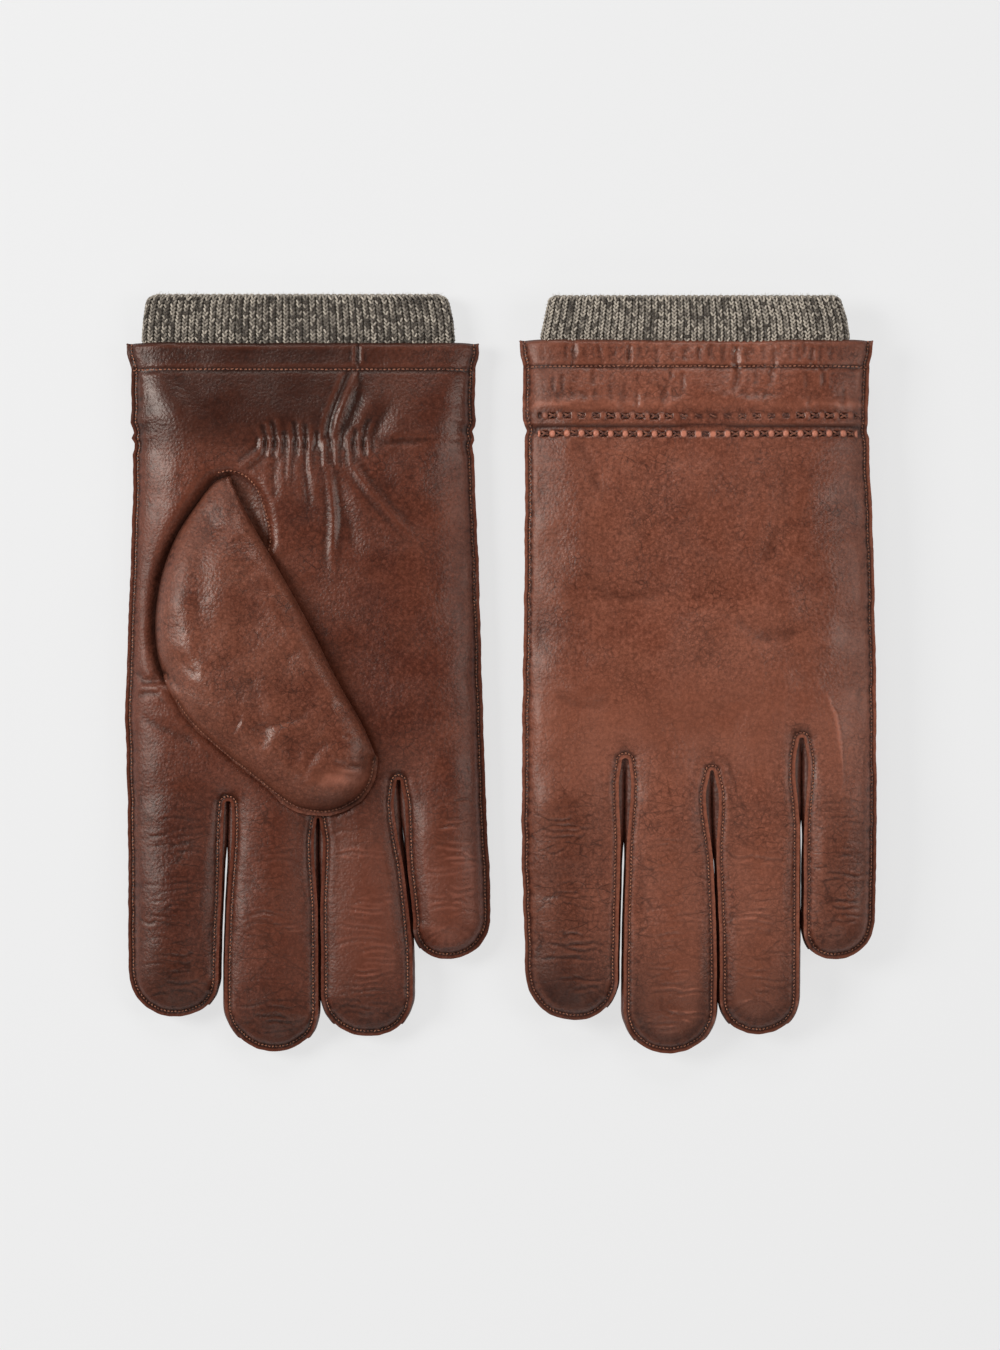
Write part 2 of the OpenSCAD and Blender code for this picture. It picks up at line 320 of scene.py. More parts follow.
def outline(glove, half):
    """The edge of a leather half from the left of its cuff round all the fingertips to the right of its
    cuff: x, y, and a share that is 1 where a fourchette is sewn on and 0 where the halves meet."""
    rows = []
    for f in range(4):
        start = tip_start(glove, half, f)
        top_left = CUFF_Y if f == 0 else glove[half + "_gaps"][f - 1][0]
        top_right = CUFF_Y if f == 3 else glove[half + "_gaps"][f][0]
        radius = glove["tip_y"][f] - start
        down = np.unique(np.concatenate([np.linspace(top_left, start, 120),
                                         top_left - 2.2 * np.linspace(0, 1, 24) ** 2]))[::-1]
        left, _ = finger_edges(glove, half, f, down)
        rows.append(np.column_stack([left, down, np.full(len(down), float(f > 0))]))
        edge_left, edge_right = finger_edges(glove, half, f, np.array([start]))
        middle, half_w = (edge_left[0] + edge_right[0]) / 2, (edge_right[0] - edge_left[0]) / 2
        angle = np.linspace(0, math.pi, 60)[1:-1]
        power = 2 / 2.12
        x = middle - half_w * np.sign(np.cos(angle)) * np.abs(np.cos(angle)) ** power
        y = start + radius * np.sin(angle) ** power
        x = x + glove["tip_lean"][f] * np.sin(angle)
        share = (float(f > 0) * ramp(angle, 0.9, 0.1) + float(f < 3) * ramp(angle, 2.24, 3.04))
        rows.append(np.column_stack([x, y, share]))
        up = np.unique(np.concatenate([np.linspace(start, top_right, 120),
                                       top_right - 2.2 * np.linspace(0, 1, 24) ** 2]))
        _, right = finger_edges(glove, half, f, up)
        rows.append(np.column_stack([right, up, np.full(len(up), float(f < 3))]))
    line = resample(np.vstack(rows), CHAIN_STEP)
    s = np.arange(len(line)) * CHAIN_STEP
    wobble = 0.20 * noise1(s, 9.0, glove["seed"]) + 0.14 * noise1(s, 2.6, glove["seed"] + 1)
    calm = ramp(line[:, 2], 1, 0) * 0.6 + 0.4
    line[:, :2] += normals_of(line) * (wobble * calm)[:, None]
    return line


# ---------------------------------------------------------------- heights of the leather


def rise(t, power=1.95):
    """How puffed leather rises from a seam: 0 at the seam, 1 inwards."""
    t = np.clip(t, 0, 1)
    return (1 - (1 - t) ** power) ** (1 / power)


thumb_polygon = np.vstack([smooth_line(THUMB_EDGE, 1.0), smooth_line(THUMB_FOLD, 1.0)[1:],
                           smooth_line(THUMB_SEAM, 1.0)[::-1][1:-1]])
hole_polygon = np.vstack([smooth_line(THUMB_SEAM, 1.0), smooth_line(HOLE_RIGHT, 1.0)[1:-1]])


class Fields:
    """What the heights at a set of points need to know about a leather half."""

    def __init__(self, glove, half, x, y):
        self.x, self.y = np.asarray(x, float), np.asarray(y, float)
        points = np.column_stack([self.x, self.y])
        line = glove[half + "_line"]
        self.d, self.place = nearest(points, line)
        index = np.clip(self.place, 0, len(line) - 1)
        self.share = np.interp(index, np.arange(len(line)), line[:, 2])
        self.along = self.place * CHAIN_STEP


FORK_PALM_Z, FORK_BACK_Z = 9.4, 3.4         # heights of the two seams of a fourchette
PALM_TOP = 13.2                     # height of the puffed palm half


def seam_heights(glove, share):
    """Heights of the palm half's and the back half's seam lips."""
    palm = glove["seam_z"] + share * (FORK_PALM_Z - glove["seam_z"])
    back = glove["seam_z"] - share * (glove["seam_z"] - FORK_BACK_Z)
    return palm, back


def puff_width(x, y):
    """How far in from a seam the leather reaches its full height."""
    finger = 14.6 - 2.8 * ramp(x, 30, 38) * ramp(y, -20, -40)
    hand = 25.0 - 12.0 * ramp(y, 66, 92)
    return finger + (hand - finger) * ramp(y, -48, 12)


WRINKLES = 30                       # on each finger
WRINKLE_PLACES = [0.12, 0.42, 0.66, 0.82]   # shares of a finger's length from its knuckle line
WRINKLE_SHARES = [0.26, 0.30, 0.22, 0.22]   # how many of them lie at each place


def finger_wrinkles(glove, half, x, y):
    """Short creases across the fingers, more of them at the joints."""
    rng = np.random.RandomState(glove["seed"] + (5 if half == "palm" else 9))
    out = np.zeros(len(x))
    for f in range(4):
        tip, knuckle = glove["tip_y"][f], KNUCKLE_Y[f]
        length = knuckle - tip
        for _ in range(WRINKLES):
            joint = rng.choice(WRINKLE_PLACES, p=WRINKLE_SHARES)
            yc = knuckle - length * joint + rng.normal(0, 3.4)
            left, right = finger_edges(glove, half, f, np.array([yc]))
            w = right[0] - left[0]
            x0 = left[0] + 2.6 + rng.uniform(0, 0.55) * (w - 5)
            span = rng.uniform(0.22, 0.62) * w
            x1 = min(x0 + span, right[0] - 2.4)
            bow = rng.normal(0, 0.8)
            slope = rng.normal(0, 0.09) * (x1 - x0)
            line = [(x0, yc), (0.67 * x0 + 0.33 * x1, yc + bow + slope * 0.33 + rng.normal(0, 0.3)),
                    (0.33 * x0 + 0.67 * x1, yc + bow + slope * 0.67 + rng.normal(0, 0.3)), (x1, yc + slope)]
            out += crease(x, y, line, rng.uniform(0.32, 0.55), rng.uniform(0.05, 0.17))
    return out


# Where each gather lies across the wrist, and how far it hangs below the elastic.
GATHERS = [(-13.5, 4.6), (-10.6, 5.2), (-7.6, 5.6), (-4.2, 14.0), (-0.9, 5.6), (1.9, 11.0), (6.4, 9.0),
           (10.1, 9.0), (14.2, 8.0), (17.4, 5.0), (20.3, 4.4)]
WRIST_MIDDLE, WRIST_SPREAD = 3.0, 16.0      # the gathers lean outwards from this line


def palm_details(glove, fields):
    """Gathers, folds and wrinkles of the palm half."""
    x, y, d = fields.x, fields.y, fields.d
    seed = glove["seed"]
    out = 0.85 * noise2(x, y, 34.0, seed) + 0.45 * noise2(x, y, 15.0, seed + 1)
    out += 0.07 * noise2(x, y, 5.0, seed + 2)
    # The elastic's gathers: thin ridges that hang from it, with slots between them and fans above.
    for k, (place, reach) in enumerate(GATHERS):
        lean = 0.10 * (place - WRIST_MIDDLE) / WRIST_SPREAD
        low = ELASTIC_Y - reach
        out += crease(x, y, [(place - 1.4 * lean, ELASTIC_Y + 1.6), (place, ELASTIC_Y - 1.5),
                             (place + 0.5 * reach * lean, 0.5 * (ELASTIC_Y + low)),
                             (place + reach * lean, low)], 0.55, -0.52, 0.25)
        if k + 1 < len(GATHERS):
            slot = 0.5 * (place + GATHERS[k + 1][0])
            out += crease(x, y, [(slot, ELASTIC_Y + 2.6), (slot, ELASTIC_Y - 0.5), (slot, ELASTIC_Y - 3.4)],
                          0.60, 0.62, 0.40)
            tilt = 0.20 * (slot - WRIST_MIDDLE) / WRIST_SPREAD
            fan = 5.0 + 2.4 * math.sin(2.3 * k)
            out += crease(x, y, [(slot, ELASTIC_Y + 1.0), (slot + 3 * tilt, ELASTIC_Y + 0.5 * fan + 1),
                                 (slot + fan * tilt * 1.6, ELASTIC_Y + fan + 1)], 0.80, 0.34, 0.40)
    out -= 1.5 * bell(y - ELASTIC_Y, 7.0) * ramp(np.abs(x - 3.5), 40, 14)
    # The turned hem steps back where the long crease begins.
    out -= 0.5 * ramp(x, 16.6, 17.3) * ramp(x, 30, 20) * ramp(y, 88, 97)
    out += creases(x, y, [
            ([(17.1, 106.4), (17.0, 102.0), (16.8, 97.0)], 0.45, 0.80),
            ([(16.8, 98.0), (14.2, 95.4), (12.0, 89.8), (9.1, 82.5), (7.3, 76.0), (6.2, 71.0)], 1.0, 0.62),
            ([(16.6, 95.4), (15.4, 92.2), (13.3, 87.8), (10.8, 80.0), (9.2, 74.0)], 1.9, -0.42),
            ([(18.4, 90.0), (17.0, 85.9), (14.2, 79.6), (12.6, 74.0)], 1.7, 0.40),
            ([(31.0, 90.0), (29.0, 87.6), (25.1, 81.8), (20.7, 76.0), (17.2, 71.6)], 3.0, 0.48, 0.45),
            ([(21.0, 73.9), (27.0, 73.4), (34.0, 73.6), (44.0, 74.6)], 1.3, 0.35, 0.45),
            ([(-13.0, 71.4), (-16.5, 68.0), (-20.5, 65.0)], 1.0, -0.5),
            ([(6.2, 74.0), (8.0, 63.6), (9.4, 50.5), (8.8, 36.7), (9.6, 26.0)], 1.15, -0.60, 0.45),
            ([(9.4, 70.0), (12.0, 56.3), (15.0, 43.2), (18.4, 33.0)], 2.6, 0.60, 0.45),
            ([(14.2, 73.8), (14.9, 67.2), (20.7, 58.5), (30.9, 46.9), (38.0, 38.4)], 1.25, -0.60, 0.45),
            ([(16.6, 69.0), (25.1, 60.7), (34.4, 50.5), (43.0, 42.0)], 3.2, 0.65, 0.45),
            ([(0.2, 69.0), (0.9, 61.0), (2.0, 52.0)], 1.2, 0.5),
            ([(-8.6, 70.0), (-9.4, 62.0), (-8.8, 54.0)], 1.3, 0.4),
            ([(-54.0, 2.0), (-50.0, -2.0), (-45.0, -1.0)], 1.5, 0.8),
            ([(-53.5, -7.0), (-49.0, -5.6), (-44.5, -6.0)], 1.1, 0.5),
            ([(-54.0, -12.0), (-44.0, -17.0), (-32.0, -22.0)], 1.6, 0.35)])
    return out * ramp(d, 1.4, 6.0) + finger_wrinkles(glove, "palm", x, y) * ramp(d, 1.4, 3.2)


BEAD_ROWS = (80.9, 75.3)
BEAD_COUNT = 22
BEAD_SPAN = (-50.0, 50.5)
BEAD_PITCH = (BEAD_SPAN[1] - BEAD_SPAN[0]) / BEAD_COUNT
TUCK_Y = BAND_Y + 6.6               # a soft tuck in the band
HEM_STITCH_Y = CUFF_Y - 8.6


def bead_bow(x):
    """How far the bead rows sag in their middle."""
    return 0.35 * bell(x, 34)


def bead_pads(x, y):
    """1 on the small pads of leather between the thick stitches of the two rows, -1 in their stitch holes."""
    out = np.zeros(len(x))
    for row, level in enumerate(BEAD_ROWS):
        level = level - bead_bow(x) + 0.1 * noise1(x, 9.0, 61 + row)
        phase = ((x - BEAD_SPAN[0]) / BEAD_PITCH + 0.5 * row) % 1.0 - 0.5
        within = (x > BEAD_SPAN[0]) & (x < BEAD_SPAN[1])
        far = np.hypot(phase * BEAD_PITCH, (y - level) * 0.92)
        pad = np.exp(-(far / 0.98) ** 4) * (0.55, 1.0)[row]
        tall = np.exp(-(np.abs(y - level) / 0.9) ** 4)
        hole = np.exp(-(np.abs(np.abs(phase) - 0.5) * BEAD_PITCH / 1.15) ** 4)
        out += within * (pad - tall * hole)
    return out


BAND_TUCKS = 64
TUCK_LEVELS = [100.8, 92.0, 86.5]
TUCK_SHARES = [0.5, 0.25, 0.25]


def back_details(glove, fields):
    """The band's tucks and wrinkles, and the slight folds of the back half."""
    x, y, d = fields.x, fields.y, fields.d
    seed = glove["seed"] + 40
    out = 1.35 * noise2(x, y, 34.0, seed) + 0.62 * noise2(x, y, 14.0, seed + 1)
    out += 0.06 * noise2(x, y, 4.6, seed + 2)
    # Upright wrinkles in the band and its hem.
    band = ramp(y, BAND_Y + 3, BAND_Y + 8)
    out += 0.62 * bead_pads(x, y)
    out += 0.30 * band * noise2(x, y * 0.12, 2.1, seed + 3) * ramp(noise2(x, y, 26.0, seed + 4), -0.2, 0.4)
    out += 0.55 * bell(y - TUCK_Y, 2.0) * (1 + 0.6 * noise1(x, 12.0, seed + 7))
    rng = np.random.RandomState(seed)
    for _ in range(BAND_TUCKS):
        x0 = rng.uniform(-46, 48)
        y0 = rng.choice(TUCK_LEVELS, p=TUCK_SHARES) + rng.normal(0, 1.0)
        size = rng.uniform(3.0, 7.5)
        out += crease(x, y, [(x0, y0 + size / 2), (x0 + rng.normal(0, 0.4), y0), (x0, y0 - size / 2)],
                      rng.uniform(0.45, 0.85), rng.uniform(0.12, 0.42))
    out += creases(x, y, [
            ([(12.6, 104.0), (12.0, 99.0), (13.0, 93.5), (11.0, 88.0)], 0.9, 0.6),
            ([(14.6, 103.0), (14.6, 97.0)], 0.8, -0.4),
            ([(24.8, 103.0), (24.2, 97.5), (23.0, 92.0)], 0.8, 0.45),
            ([(-40.0, 74.0), (-34.0, 66.0), (-30.0, 54.0)], 3.0, 0.4),
            ([(30.0, 70.0), (26.0, 52.0), (20.0, 30.0)], 3.4, 0.45),
            ([(-38.0, 30.0), (-24.0, 24.0), (-10.0, 26.0)], 2.4, 0.25),
            ([(8.0, 20.0), (20.0, 12.0), (36.0, 14.0)], 2.4, 0.3),
            ([(-46.0, -6.0), (-36.0, -10.0), (-26.0, -8.0)], 2.0, 0.3)])
    return out * ramp(d, 1.4, 6.0) + finger_wrinkles(glove, "back", x, y) * ramp(d, 1.4, 3.2)


def cuff_top(x):
    """Height of the leather's top edge, which wanders slightly."""
    return CUFF_Y + 0.45 * noise1(x, 24.0, 15) + 0.12 * noise1(x, 6.0, 16)


def hem_shape(x, y):
    """The roll of the turned edge and the groove of its stitch line."""
    y = y + CUFF_Y - cuff_top(x)
    roll = np.clip((y - (CUFF_Y - 1.3)) / 1.3, 0, 1)
    edge = 1.3 * (1 - np.sqrt(1 - roll ** 2 + 1e-9))
    groove = 0.45 * bell(y - HEM_STITCH_Y, 0.7)
    step = 0.35 * ramp(y, CUFF_Y - 9.6, CUFF_Y - 8.0)
    return step - edge - groove


def palm_height(glove, fields, details=True):
    """Outer surface of the palm half."""
    x, y, d = fields.x, fields.y, fields.d
    lip, _ = seam_heights(glove, fields.share)
    full = PALM_TOP - 1.2 * ramp(y, -60, -112) - 3.0 * ramp(y, 78, 104)
    points = np.column_stack([x, y])
    thumb_d, _ = nearest(points, thumb_polygon)
    under = ramp(thumb_d, -2.0, 5.0)
    full = full - 2.6 * under
    t = (d - PUFF_START) / (puff_width(x, y) - PUFF_START)
    z = lip + LEATHER + (full - lip - LEATHER) * rise(t)
    z += np.where(d < LIP, 0.10 * noise2(fields.along, d, 3.0, 21), 0) - 0.25 * bell(d - LIP, 0.35)
    seam_d, _ = nearest(points, np.vstack([smooth_line(THUMB_SEAM, 1.0),
                                           smooth_line(HOLE_RIGHT[:5], 1.0)[1:]]))
    z -= 2.6 * bell(seam_d, 2.3) * ramp(d, 0, 8)
    if details:
        z += palm_details(glove, fields) * (1 - 0.8 * under)
    return z + hem_shape(x, y) * ramp(d, 0, 2)


def back_height(glove, fields, details=True):
    """Outer surface of the back half, which faces down in this frame."""
    x, y, d = fields.x, fields.y, fields.d
    _, lip = seam_heights(glove, fields.share)
    full = glove["back_low"] + 1.0 * ramp(y, 84, 104)
    t = (d - PUFF_START) / (puff_width(x, y) - PUFF_START)
    z = lip - LEATHER + (full - lip + LEATHER) * rise(t)
    z += 0.25 * bell(d - LIP, 0.35) + np.where(d < LIP, 0.10 * noise2(fields.along, d, 3.0, 22), 0)
    if details:
        # Flatter on the glove that lies on its back.
        z -= back_details(glove, fields) * (0.25 if glove is GLOVES["right"] else 1.0)
    z -= hem_shape(x, y) * ramp(d, 0, 2)
    step = 0.55 * ramp(y, BAND_Y - 0.25, BAND_Y + 0.25) - 0.55 * ramp(y, BAND_Y + 1, BAND_Y + 7)
    return np.maximum(z - step, 0.05)


OUTWARDS = {"palm": 1, "back": -1}  # the way out of each half, up or down in the flat frame


def surface(glove, half, fields, details=True):
    height = palm_height if half == "palm" else back_height
    return height(glove, fields, details)


DROOP_TIPS, DROOP_CUFF, DROOP_SIDE = 8.2, 5.4, 3.0     # of the left-hand glove, which lies on its thumb
LOWEST = 0.02


def to_table(name, points):
    """From a glove's flat frame to the row frame, in millimetres."""
    glove = GLOVES[name]
    p = np.array(points, float)
    x, y, z = p[:, 0], p[:, 1], p[:, 2]
    if name == "left":
        fall = DROOP_TIPS * np.clip((-40.0 - y) / 78.0, 0, 1) ** 0.96
        fall = fall + DROOP_CUFF * np.clip((y - 62.0) / 56.0, 0, 1) ** 1.1
        fall = fall + DROOP_SIDE * ramp(x, 26, 60) * ramp(y, -60, -30) * ramp(y, 100, 70)
        z = STACK - z - fall
    return np.column_stack([x + glove["x"], y + glove["y"], np.maximum(z, LOWEST)])


# ---------------------------------------------------------------- making meshes


def closed(ring):
    return np.vstack([ring, ring[:1]])


def mesh_object(name, points, faces, material, normals=None, colours=None):
    """An object from points in millimetres of the row frame; normals are one for each face corner."""
    mesh = bpy.data.meshes.new(name)
    faces = np.asarray(faces, np.int32)
    corners = faces.shape[1]
    mesh.vertices.add(len(points))
    mesh.vertices.foreach_set("co", (np.asarray(points) * MM).astype(np.float32).ravel())
    mesh.loops.add(faces.size)
    mesh.loops.foreach_set("vertex_index", faces.ravel())
    mesh.polygons.add(len(faces))
    mesh.polygons.foreach_set("loop_start", np.arange(0, faces.size, corners, dtype=np.int32))
    mesh.update(calc_edges=True)
    mesh.polygons.foreach_set("use_smooth", np.ones(len(faces), bool))
    for key, values in (colours or {}).items():
        mesh.attributes.new(key, "FLOAT", "POINT").data.foreach_set("value", np.asarray(values, np.float32))
    if normals is not None:
        mesh.normals_split_custom_set(normals.reshape(-1, 3).tolist())
    mesh.materials.append(material)
    thing = bpy.data.objects.new(name, mesh)
    bpy.context.scene.collection.objects.link(thing)
    return thing


def triangulate(points, ring, hole=None):
    """Delaunay triangles inside a closed ring of points and outside a hole."""
    rings = [ring] if hole is None else [ring, hole]
    every, edges = [], []
    for loop in rings:
        first, n = len(every), len(loop)
        every += [Vector(p) for p in loop]
        edges += [(first + k, first + (k + 1) % n) for k in range(n)]
    every += [Vector(p) for p in points]
    verts, _, faces, _, _, _ = delaunay_2d_cdt(every, edges, [], 1, 1e-5)
    verts = np.array([v[:] for v in verts])
    faces = np.array([f[:3] for f in faces], np.int32)
    if hole is not None:
        faces = faces[~inside(verts[faces].mean(1), np.array(hole))]
    a, b, c = (verts[faces[:, k]] for k in range(3))
    area = (b[:, 0] - a[:, 0]) * (c[:, 1] - a[:, 1]) - (b[:, 1] - a[:, 1]) * (c[:, 0] - a[:, 0])
    sound = np.abs(area) > 1e-7
    faces, area = faces[sound], area[sound]
    faces[area < 0] = faces[area < 0][:, ::-1]
    used, faces = renumbered(faces, len(verts))
    return verts[used], faces


def renumbered(faces, n):
    """Which of n points some faces use, and the faces counted over those points only."""
    used = np.unique(faces)
    number = np.full(n, -1)
    number[used] = np.arange(len(used))
    return used, number[faces]


def hex_grid(low, high, step):
    rows = np.arange(low[1], high[1], step * math.sqrt(3) / 2)
    columns = np.arange(low[0], high[0], step)
    return np.vstack([np.column_stack([columns + (k % 2) * step / 2, np.full(len(columns), row)])
                      for k, row in enumerate(rows)])


def grid_faces(index):
    """Two triangles for each square of a grid of point numbers."""
    a, b = index[:-1, :-1].ravel(), index[1:, :-1].ravel()
    c, d = index[1:, 1:].ravel(), index[:-1, 1:].ravel()
    return np.vstack([np.column_stack([a, c, d]), np.column_stack([a, b, c])])


def rim_walls(faces, n):
    """Triangles between the open edge of some faces and its copy, whose points are n further on."""
    directed = np.vstack([faces[:, [0, 1]], faces[:, [1, 2]], faces[:, [2, 0]]])
    key = directed[:, 0].astype(np.int64) * n + directed[:, 1]
    back = directed[:, 1].astype(np.int64) * n + directed[:, 0]
    rim = directed[~np.isin(key, back)]
    return np.vstack([np.column_stack([rim[:, 1], rim[:, 0], rim[:, 0] + n]),
                      np.column_stack([rim[:, 1], rim[:, 0] + n, rim[:, 1] + n])])


def facing(name, faces, up=True):
    """The faces turned outwards, for a skin that faces up or down in its glove's flat frame."""
    return faces if up == (name == "right") else faces[:, ::-1]


def face_normals(points, faces):
    a, b, c = (points[faces[:, k]] for k in range(3))
    return np.cross(b - a, c - a)


def unit(vectors):
    return vectors / (np.linalg.norm(vectors, axis=1)[:, None] + 1e-12)


def vertex_normals(points, faces):
    face = face_normals(points, faces)
    total = np.zeros_like(points)
    for k in range(3):
        np.add.at(total, faces[:, k], face)
    return unit(total)


def shell(name, points, faces, normals, thickness, material, colours=None):
    """A closed skin: the outer faces, the same faces set in by the thickness, and a rim between them.
    normals are those of the whole half, so that neighbouring pieces shade as one."""
    used, faces = renumbered(faces, len(points))
    normal = normals[used]
    deep = np.broadcast_to(thickness, len(points))[used][:, None]
    n = len(used)
    walls = rim_walls(faces, n)
    every = np.vstack([points[used], points[used] - normal * deep])
    all_faces = np.vstack([faces, faces[:, ::-1] + n, walls])
    wall_normal = unit(face_normals(every, walls))
    corner = np.concatenate([normal[faces], -normal[faces[:, ::-1]],
                             np.repeat(wall_normal[:, None, :], 3, axis=1)])
    both = {key: np.concatenate([value[used], value[used]]) for key, value in (colours or {}).items()}
    return mesh_object(name, every, all_faces, material, corner, both)


def belongs(node):
    """Hides the part of the CAD model that a piece stands for."""
    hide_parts(node)


SEAM_RINGS = np.arange(0.55, 2.9, 0.55)     # rows of points beside a seam
FINGER_TOP = -24.0                          # the grid is finer below this height


def sheet_points(line, fine, coarse, rings, blocks):
    """Points for one leather half: rings beside its seam and a grid inside, finer over the fingers.
    rings are more rows of points, and blocks are fields of points that take the grid's place."""
    normal = normals_of(line)
    ring = np.vstack([line[:, :2] + normal * offset for offset in SEAM_RINGS])
    low, high = line[:, :2].min(0) - 1, line[:, :2].max(0) + 2
    inner = np.vstack([hex_grid(low, (high[0], FINGER_TOP), fine),
                       hex_grid((low[0], FINGER_TOP + coarse / 2), high, coarse)])
    d, _ = nearest(inner, line)
    inner = inner[(d > SEAM_RINGS[-1] + 0.2) & (inner[:, 0] > low[0] + 3) & (inner[:, 0] < high[0] - 3)]
    d, _ = nearest(ring, line)
    ring = ring[np.abs(d - np.repeat(SEAM_RINGS, len(line))) < 0.04]
    for block in blocks:
        low, high = block.min(0), block.max(0)
        inner = inner[(np.abs(inner - (low + high) / 2) > (high - low) / 2).any(1)]
    points = np.vstack([ring, inner] + rings + blocks)
    return points[points[:, 1] < cuff_top(points[:, 0]) - 0.3]


def top_edge(line, step):
    """Points along the cuff's edge from the right end of an outline back to its left end."""
    a, b = line[-1, :2], line[0, :2]
    n = int(abs(a[0] - b[0]) / step)
    x = np.linspace(a[0], b[0], n + 1)[1:-1]
    return np.column_stack([x, cuff_top(x)])


# ---------------------------------------------------------------- materials

WHITE = (1, 1, 1, 1)


class Nodes:
    """A small helper that makes a node material."""

    def __init__(self, name):
        self.material = bpy.data.materials.new(name)
        self.material.use_nodes = True
        self.tree = self.material.node_tree
        self.tree.nodes.clear()
        self.shader = self.node("BsdfPrincipled", {})
        self.node("OutputMaterial", {0: self.shader.outputs[0]})
        place = self.node("TexCoord", {}).outputs["Object"]
        self.mm = self.node("VectorMath", {0: place, "Scale": 1 / MM}, operation="SCALE").outputs[0]

    def link(self, value, socket):
        if hasattr(value, "is_output"):
            self.tree.links.new(value, socket)
        else:
            socket.default_value = value

    def node(self, kind, values, **settings):
        """A node with its settings, and its inputs linked or set."""
        made = self.tree.nodes.new("ShaderNode" + kind)
        for key, value in settings.items():
            setattr(made, key, value)
        for key, value in values.items():
            self.link(value, made.inputs[key])
        return made

    def stretched(self, sx, sy, sz, vector=None):
        values = {0: vector or self.mm, 1: (sx, sy, sz)}
        return self.node("VectorMath", values, operation="MULTIPLY").outputs[0]

    def warped(self, vector, size, amount):
        """A vector pushed about by noise."""
        push = self.node("TexNoise", {"Scale": 1 / size, "Detail": 2.0, "Vector": vector}).outputs["Color"]
        return self.node("VectorMath", {0: push, 1: (amount, amount, amount), 2: vector},
                         operation="MULTIPLY_ADD").outputs[0]

    def noise(self, size, detail=3.0, rough=0.55, warp=0.0, vector=None):
        return self.node("TexNoise", {"Scale": 1 / size, "Detail": detail, "Roughness": rough,
                                      "Distortion": warp, "Vector": vector or self.mm}).outputs["Fac"]

    def cells(self, size, feature="DISTANCE_TO_EDGE", vector=None, jitter=1.0):
        return self.node("TexVoronoi", {"Scale": 1 / size, "Randomness": jitter, "Vector": vector or self.mm},
                         feature=feature).outputs["Distance"]

    def attribute(self, name):
        return self.node("Attribute", {}, attribute_name=name).outputs["Fac"]

    def maths(self, operation, a, b, clamp=False):
        return self.node("Math", {0: a, 1: b}, operation=operation, use_clamp=clamp).outputs[0]

    def times(self, a, b, clamp=False):
        return self.maths("MULTIPLY", a, b, clamp)

    def plus(self, a, b):
        return self.maths("ADD", a, b)

    def most(self, a, b):
        return self.maths("MAXIMUM", a, b)

    def remap(self, value, low, high, to_low=0.0, to_high=1.0):
        return self.node("MapRange", {"Value": value, "From Min": low, "From Max": high, "To Min": to_low,
                                      "To Max": to_high}, clamp=True).outputs[0]

    def mix(self, amount, a, b):
        return self.node("Mix", {0: amount, 6: a, 7: b}, data_type="RGBA").outputs[2]

    def bump(self, height, distance, normal=None):
        values = {"Distance": distance * MM, "Height": height}
        if normal is not None:
            values["Normal"] = normal
        return self.node("Bump", values).outputs[0]

    def finish(self, colour, roughness, normal=None, specular=0.5, sheen=0.0, sheen_rough=0.5, tint=WHITE):
        values = {"Base Color": colour, "Roughness": roughness, "Specular IOR Level": specular,
                  "Specular Tint": tint, "Sheen Weight": sheen, "Sheen Roughness": sheen_rough}
        if normal is not None:
            values["Normal"] = normal
        for key, value in values.items():
            self.link(value, self.shader.inputs[key])
        return self.material


def rgb(r, g, b):
    """A linear colour from the 0 to 255 values of a screen colour."""
    return tuple(((v / 255) / 12.92 if v <= 10 else ((v / 255 + 0.055) / 1.055) ** 2.4)
                 for v in (r, g, b)) + (1.0,)


def highlight_tone_of(colour):
    """A lighter, slightly less red version of a linear colour, used for painted highlights and glints."""
    return tuple(1.45 * v + 0.012 for v in colour[:3]) + (1.0,)


def crackle_lines(n):
    """Thin dark lines between small cells, and longer creases across the fingers."""
    bent = n.warped(n.mm, 2.0, 1.3)
    lines = n.remap(n.cells(2.5, vector=bent), 0.0, 0.11, 1.0, 0.0)
    small = n.remap(n.cells(1.25, vector=bent), 0.0, 0.20, 1.0, 0.0)
    long_lines = n.remap(n.cells(4.6, vector=n.stretched(0.30, 1.0, 1.0, bent)), 0.0, 0.06, 1.0, 0.0)
    gate = n.remap(n.noise(7.0, 4.0, 0.7), 0.32, 0.62)
    small_gate = n.remap(n.noise(13.0, 4.0, 0.65), 0.30, 0.68)
    long_gate = n.remap(n.noise(9.0, 3.0, 0.6), 0.44, 0.54)
    lined = n.most(n.times(lines, gate), n.times(n.times(small, small_gate), 0.7))
    lined = n.times(lined, n.remap(n.attribute("worn"), 0.1, 0.7, 0.2, 1.0))
    return n.most(lined, n.times(n.times(long_lines, long_gate), n.attribute("across")))


